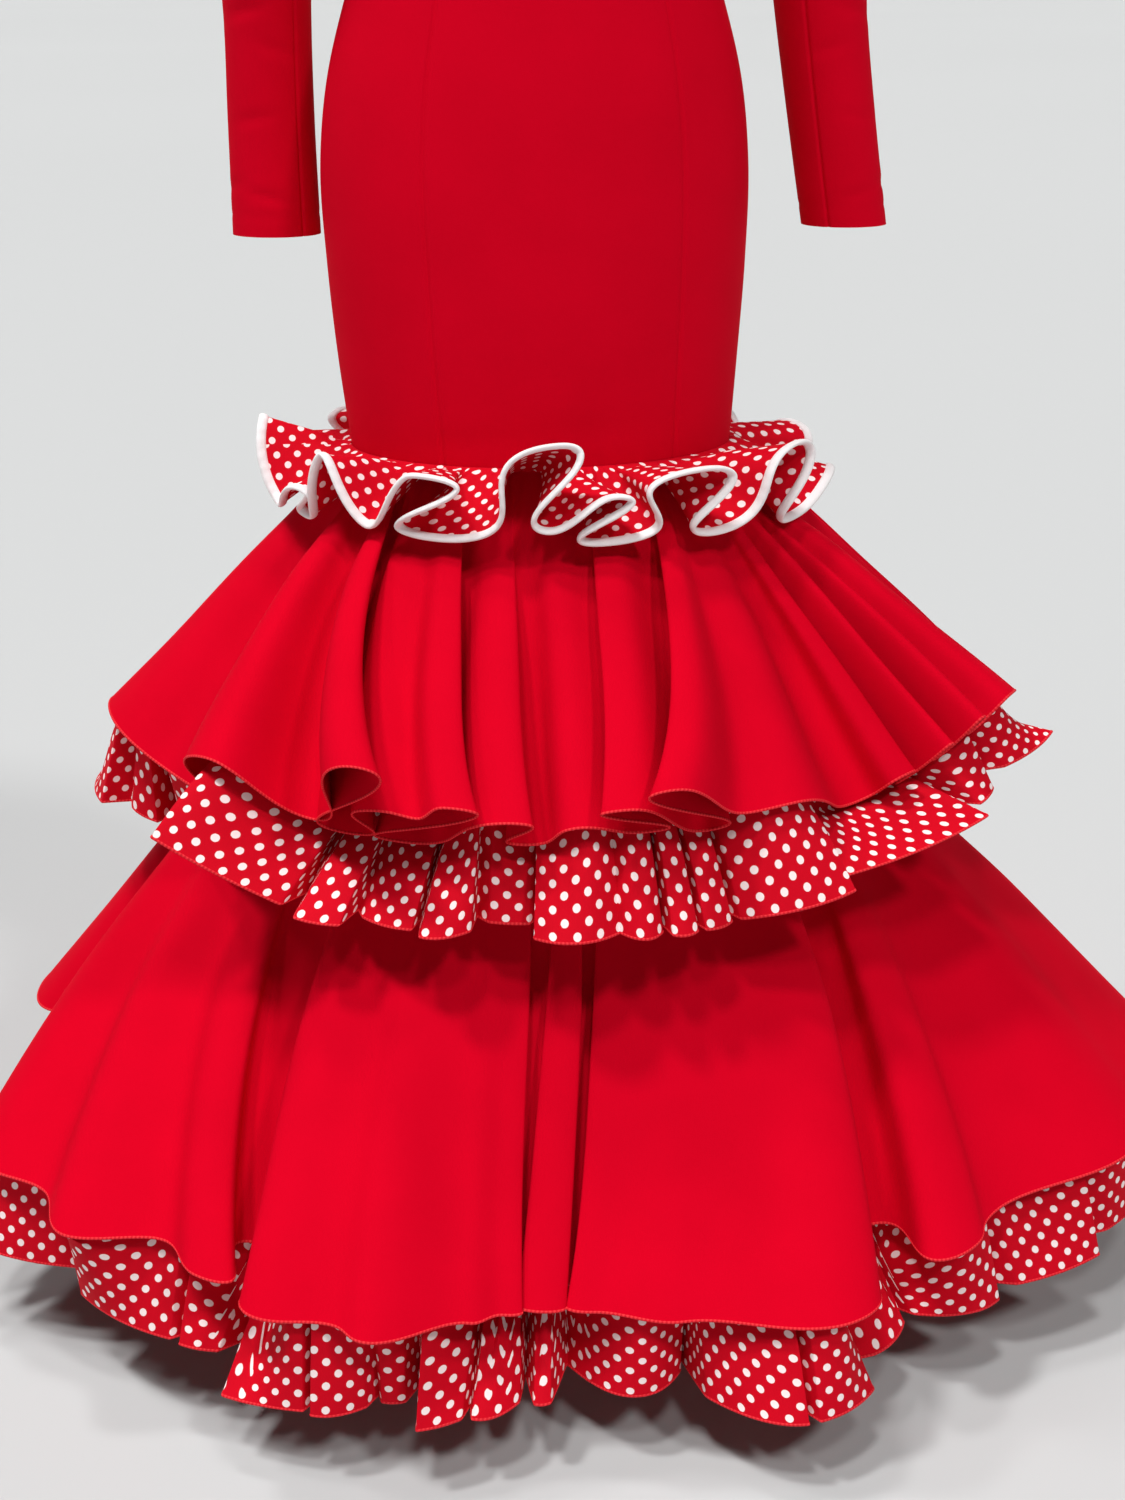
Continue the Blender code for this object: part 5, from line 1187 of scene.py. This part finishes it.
# Its folds, in the columns of the upper flounce's.
BOUND_FOLDS = (
    (-94, -16, -85, 32, 0, 0, -93.5),
    (-68, 11, -67, 29, 0, 3, -74.5),
    (-60, -11, -50, 27, 0, 0, -57),
    (-38, -6, -33, 31, 0, 9, -41.5),
    (-5, -24, -9, 24, 5, 4.5, -12.5),
    (5.5, 4, 1.5, 33, 0, 5, 0.5),
    (27, -7, 31, 33, 7, 5.5, 22.5),
    (54, -12, 56, 37, 3, 4, 49),
    (81, 17, 92, 38, 2, 0, 79),
    (107, 4, 113, 34, 3, 4, 104),
    (131, -4, 134, 30, 0, 5, 126.5),
    (153, 0, 156, 32, 2, 5, 148),
    (177, -20, 181, 26, 0, 5, 172.5),
    (201, 0, 205, 31, 3, 4, 197),
    (226, -2, 230, 31, 0, 5, 221),
    (248, 4, 256, 33, 2, 0, 246),
)

# Cotton bias binding over a soft filler, brushed: white, with a slight fuzz and no shine, and faint
# crosswise tucks where it goes round the curves.
BINDING_TUCK_MM = 5.0
BINDING_FUZZ_MM = 0.9
white_binding, tree, shader = new_material("white_cotton_binding")
place = add_node(tree, "ShaderNodeUVMap", {"uv_map": "flat_cloth"})
tucks = add_node(tree, "ShaderNodeTexWave", {"wave_type": "BANDS", "bands_direction": "X"},
                 {"Vector": place.outputs["UV"], "Scale": 1000 / BINDING_TUCK_MM / (2 * math.pi),
                  "Distortion": 3.0, "Detail": 2.0})
spot = add_node(tree, "ShaderNodeTexCoord")
fuzz = add_node(tree, "ShaderNodeTexNoise", inputs={"Vector": spot.outputs["Object"],
                                                    "Scale": 1000 / BINDING_FUZZ_MM, "Detail": 4.0})
relief = add_node(tree, "ShaderNodeMath", {"operation": "MULTIPLY_ADD"},
                  {0: tucks.outputs["Fac"], 1: 0.7, 2: fuzz.outputs["Fac"]})
bump = add_node(tree, "ShaderNodeBump", inputs={"Strength": 0.6, "Distance": 0.0006,
                                                "Height": relief.outputs[0]})
tree.links.new(bump.outputs["Normal"], shader.inputs["Normal"])
tone = add_node(tree, "ShaderNodeMix", {"data_type": "RGBA"},
                {"Factor": fuzz.outputs["Fac"], "A": hex_colour("#EDE8E9"),
                 "B": hex_colour("#FAF8F8")})
tree.links.new(tone.outputs["Result"], shader.inputs["Base Color"])
shader.inputs["Roughness"].default_value = 0.9
shader.inputs["Specular IOR Level"].default_value = 0.2

bound = layer_from_steeps(grown_ring(SHEATH_RING, *BOUND_SEAT), BOUND_FOLDS, BOUND_LENGTH,
                          BOUND_TOP_STEEP, BOUND_GROWN, BOUND_EARLY)
cloth_end = 1.0 - 0.5 * BINDING_DEPTH / BOUND_LENGTH    # the edge lies half way into the binding
slant = BOUND_LENGTH * cloth_end
downs = np.linspace(0.0, cloth_end, BOUND_ROWS)
for word, first in HALVES:
    share, down, outside = layer_grid(bound, first, BOUND_COLUMNS[word], downs)
    press = BOUND_GATHER_DEPTH * gathered(share, down, BOUND_GATHERS, BOUND_GATHERS_BEGIN,
                                          BOUND_GATHERS_END)
    outside = outside - press[..., None] * facing_of(outside)
    facing = -facing_of(outside)
    run = run_along(outside[-1])
    hem = float(step_lengths(outside[-1], 0).sum())
    seam = float(step_lengths(outside[0], 0).sum())
    # Flat, the strip is part of a ring: its curve comes from how much longer its hem is.
    bend = (hem - seam) / slant
    angle = bend * run / run[-1]
    radius = seam / bend + slant * down / cloth_end
    flat_at = np.stack([radius * np.cos(angle)[None, :], radius * np.sin(angle)[None, :]], -1)
    piece = sew_shell("cloth_bound_ruffle_" + word, outside, facing, dotted_crepe, flat_at)
    sew_on(piece, "bound_ruffle_" + word)
    binding = edge_cord("binding_" + word + "_strip", outside, facing, 0.5 * BINDING_THICKNESS,
                        0.5 * BINDING_DEPTH, BINDING_SIDES, white_binding)
    sew_on(binding, "binding_" + word)

# ---- Zip slider and pull ----
# The slider and pull of a concealed nylon zip, die-cast and enamelled red to match the crepe. They
# sit at the top of the back seam.

ENAMEL_WEAR_MM = 10 / 9          # across a patch

# Baked enamel on die-cast zinc: smooth and fairly glossy, a little uneven where fingers rub it.
red_enamel, tree, shader = new_material("red_enamelled_zinc")
spot = add_node(tree, "ShaderNodeTexCoord")
wear = add_node(tree, "ShaderNodeTexNoise",
                inputs={"Vector": spot.outputs["Object"], "Scale": 1000 / ENAMEL_WEAR_MM,
                        "Detail": 3.0})
tone = add_node(tree, "ShaderNodeMix", {"data_type": "RGBA"},
                {"Factor": wear.outputs["Fac"], "A": hex_colour("#B3041C"),
                 "B": hex_colour("#C80A22")})
tree.links.new(tone.outputs["Result"], shader.inputs["Base Color"])
shader.inputs["Roughness"].default_value = 0.32
for node in ("zip_slider", "zip_pull"):
    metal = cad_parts[node]
    metal.data.materials.clear()
    metal.data.materials.append(red_enamel)
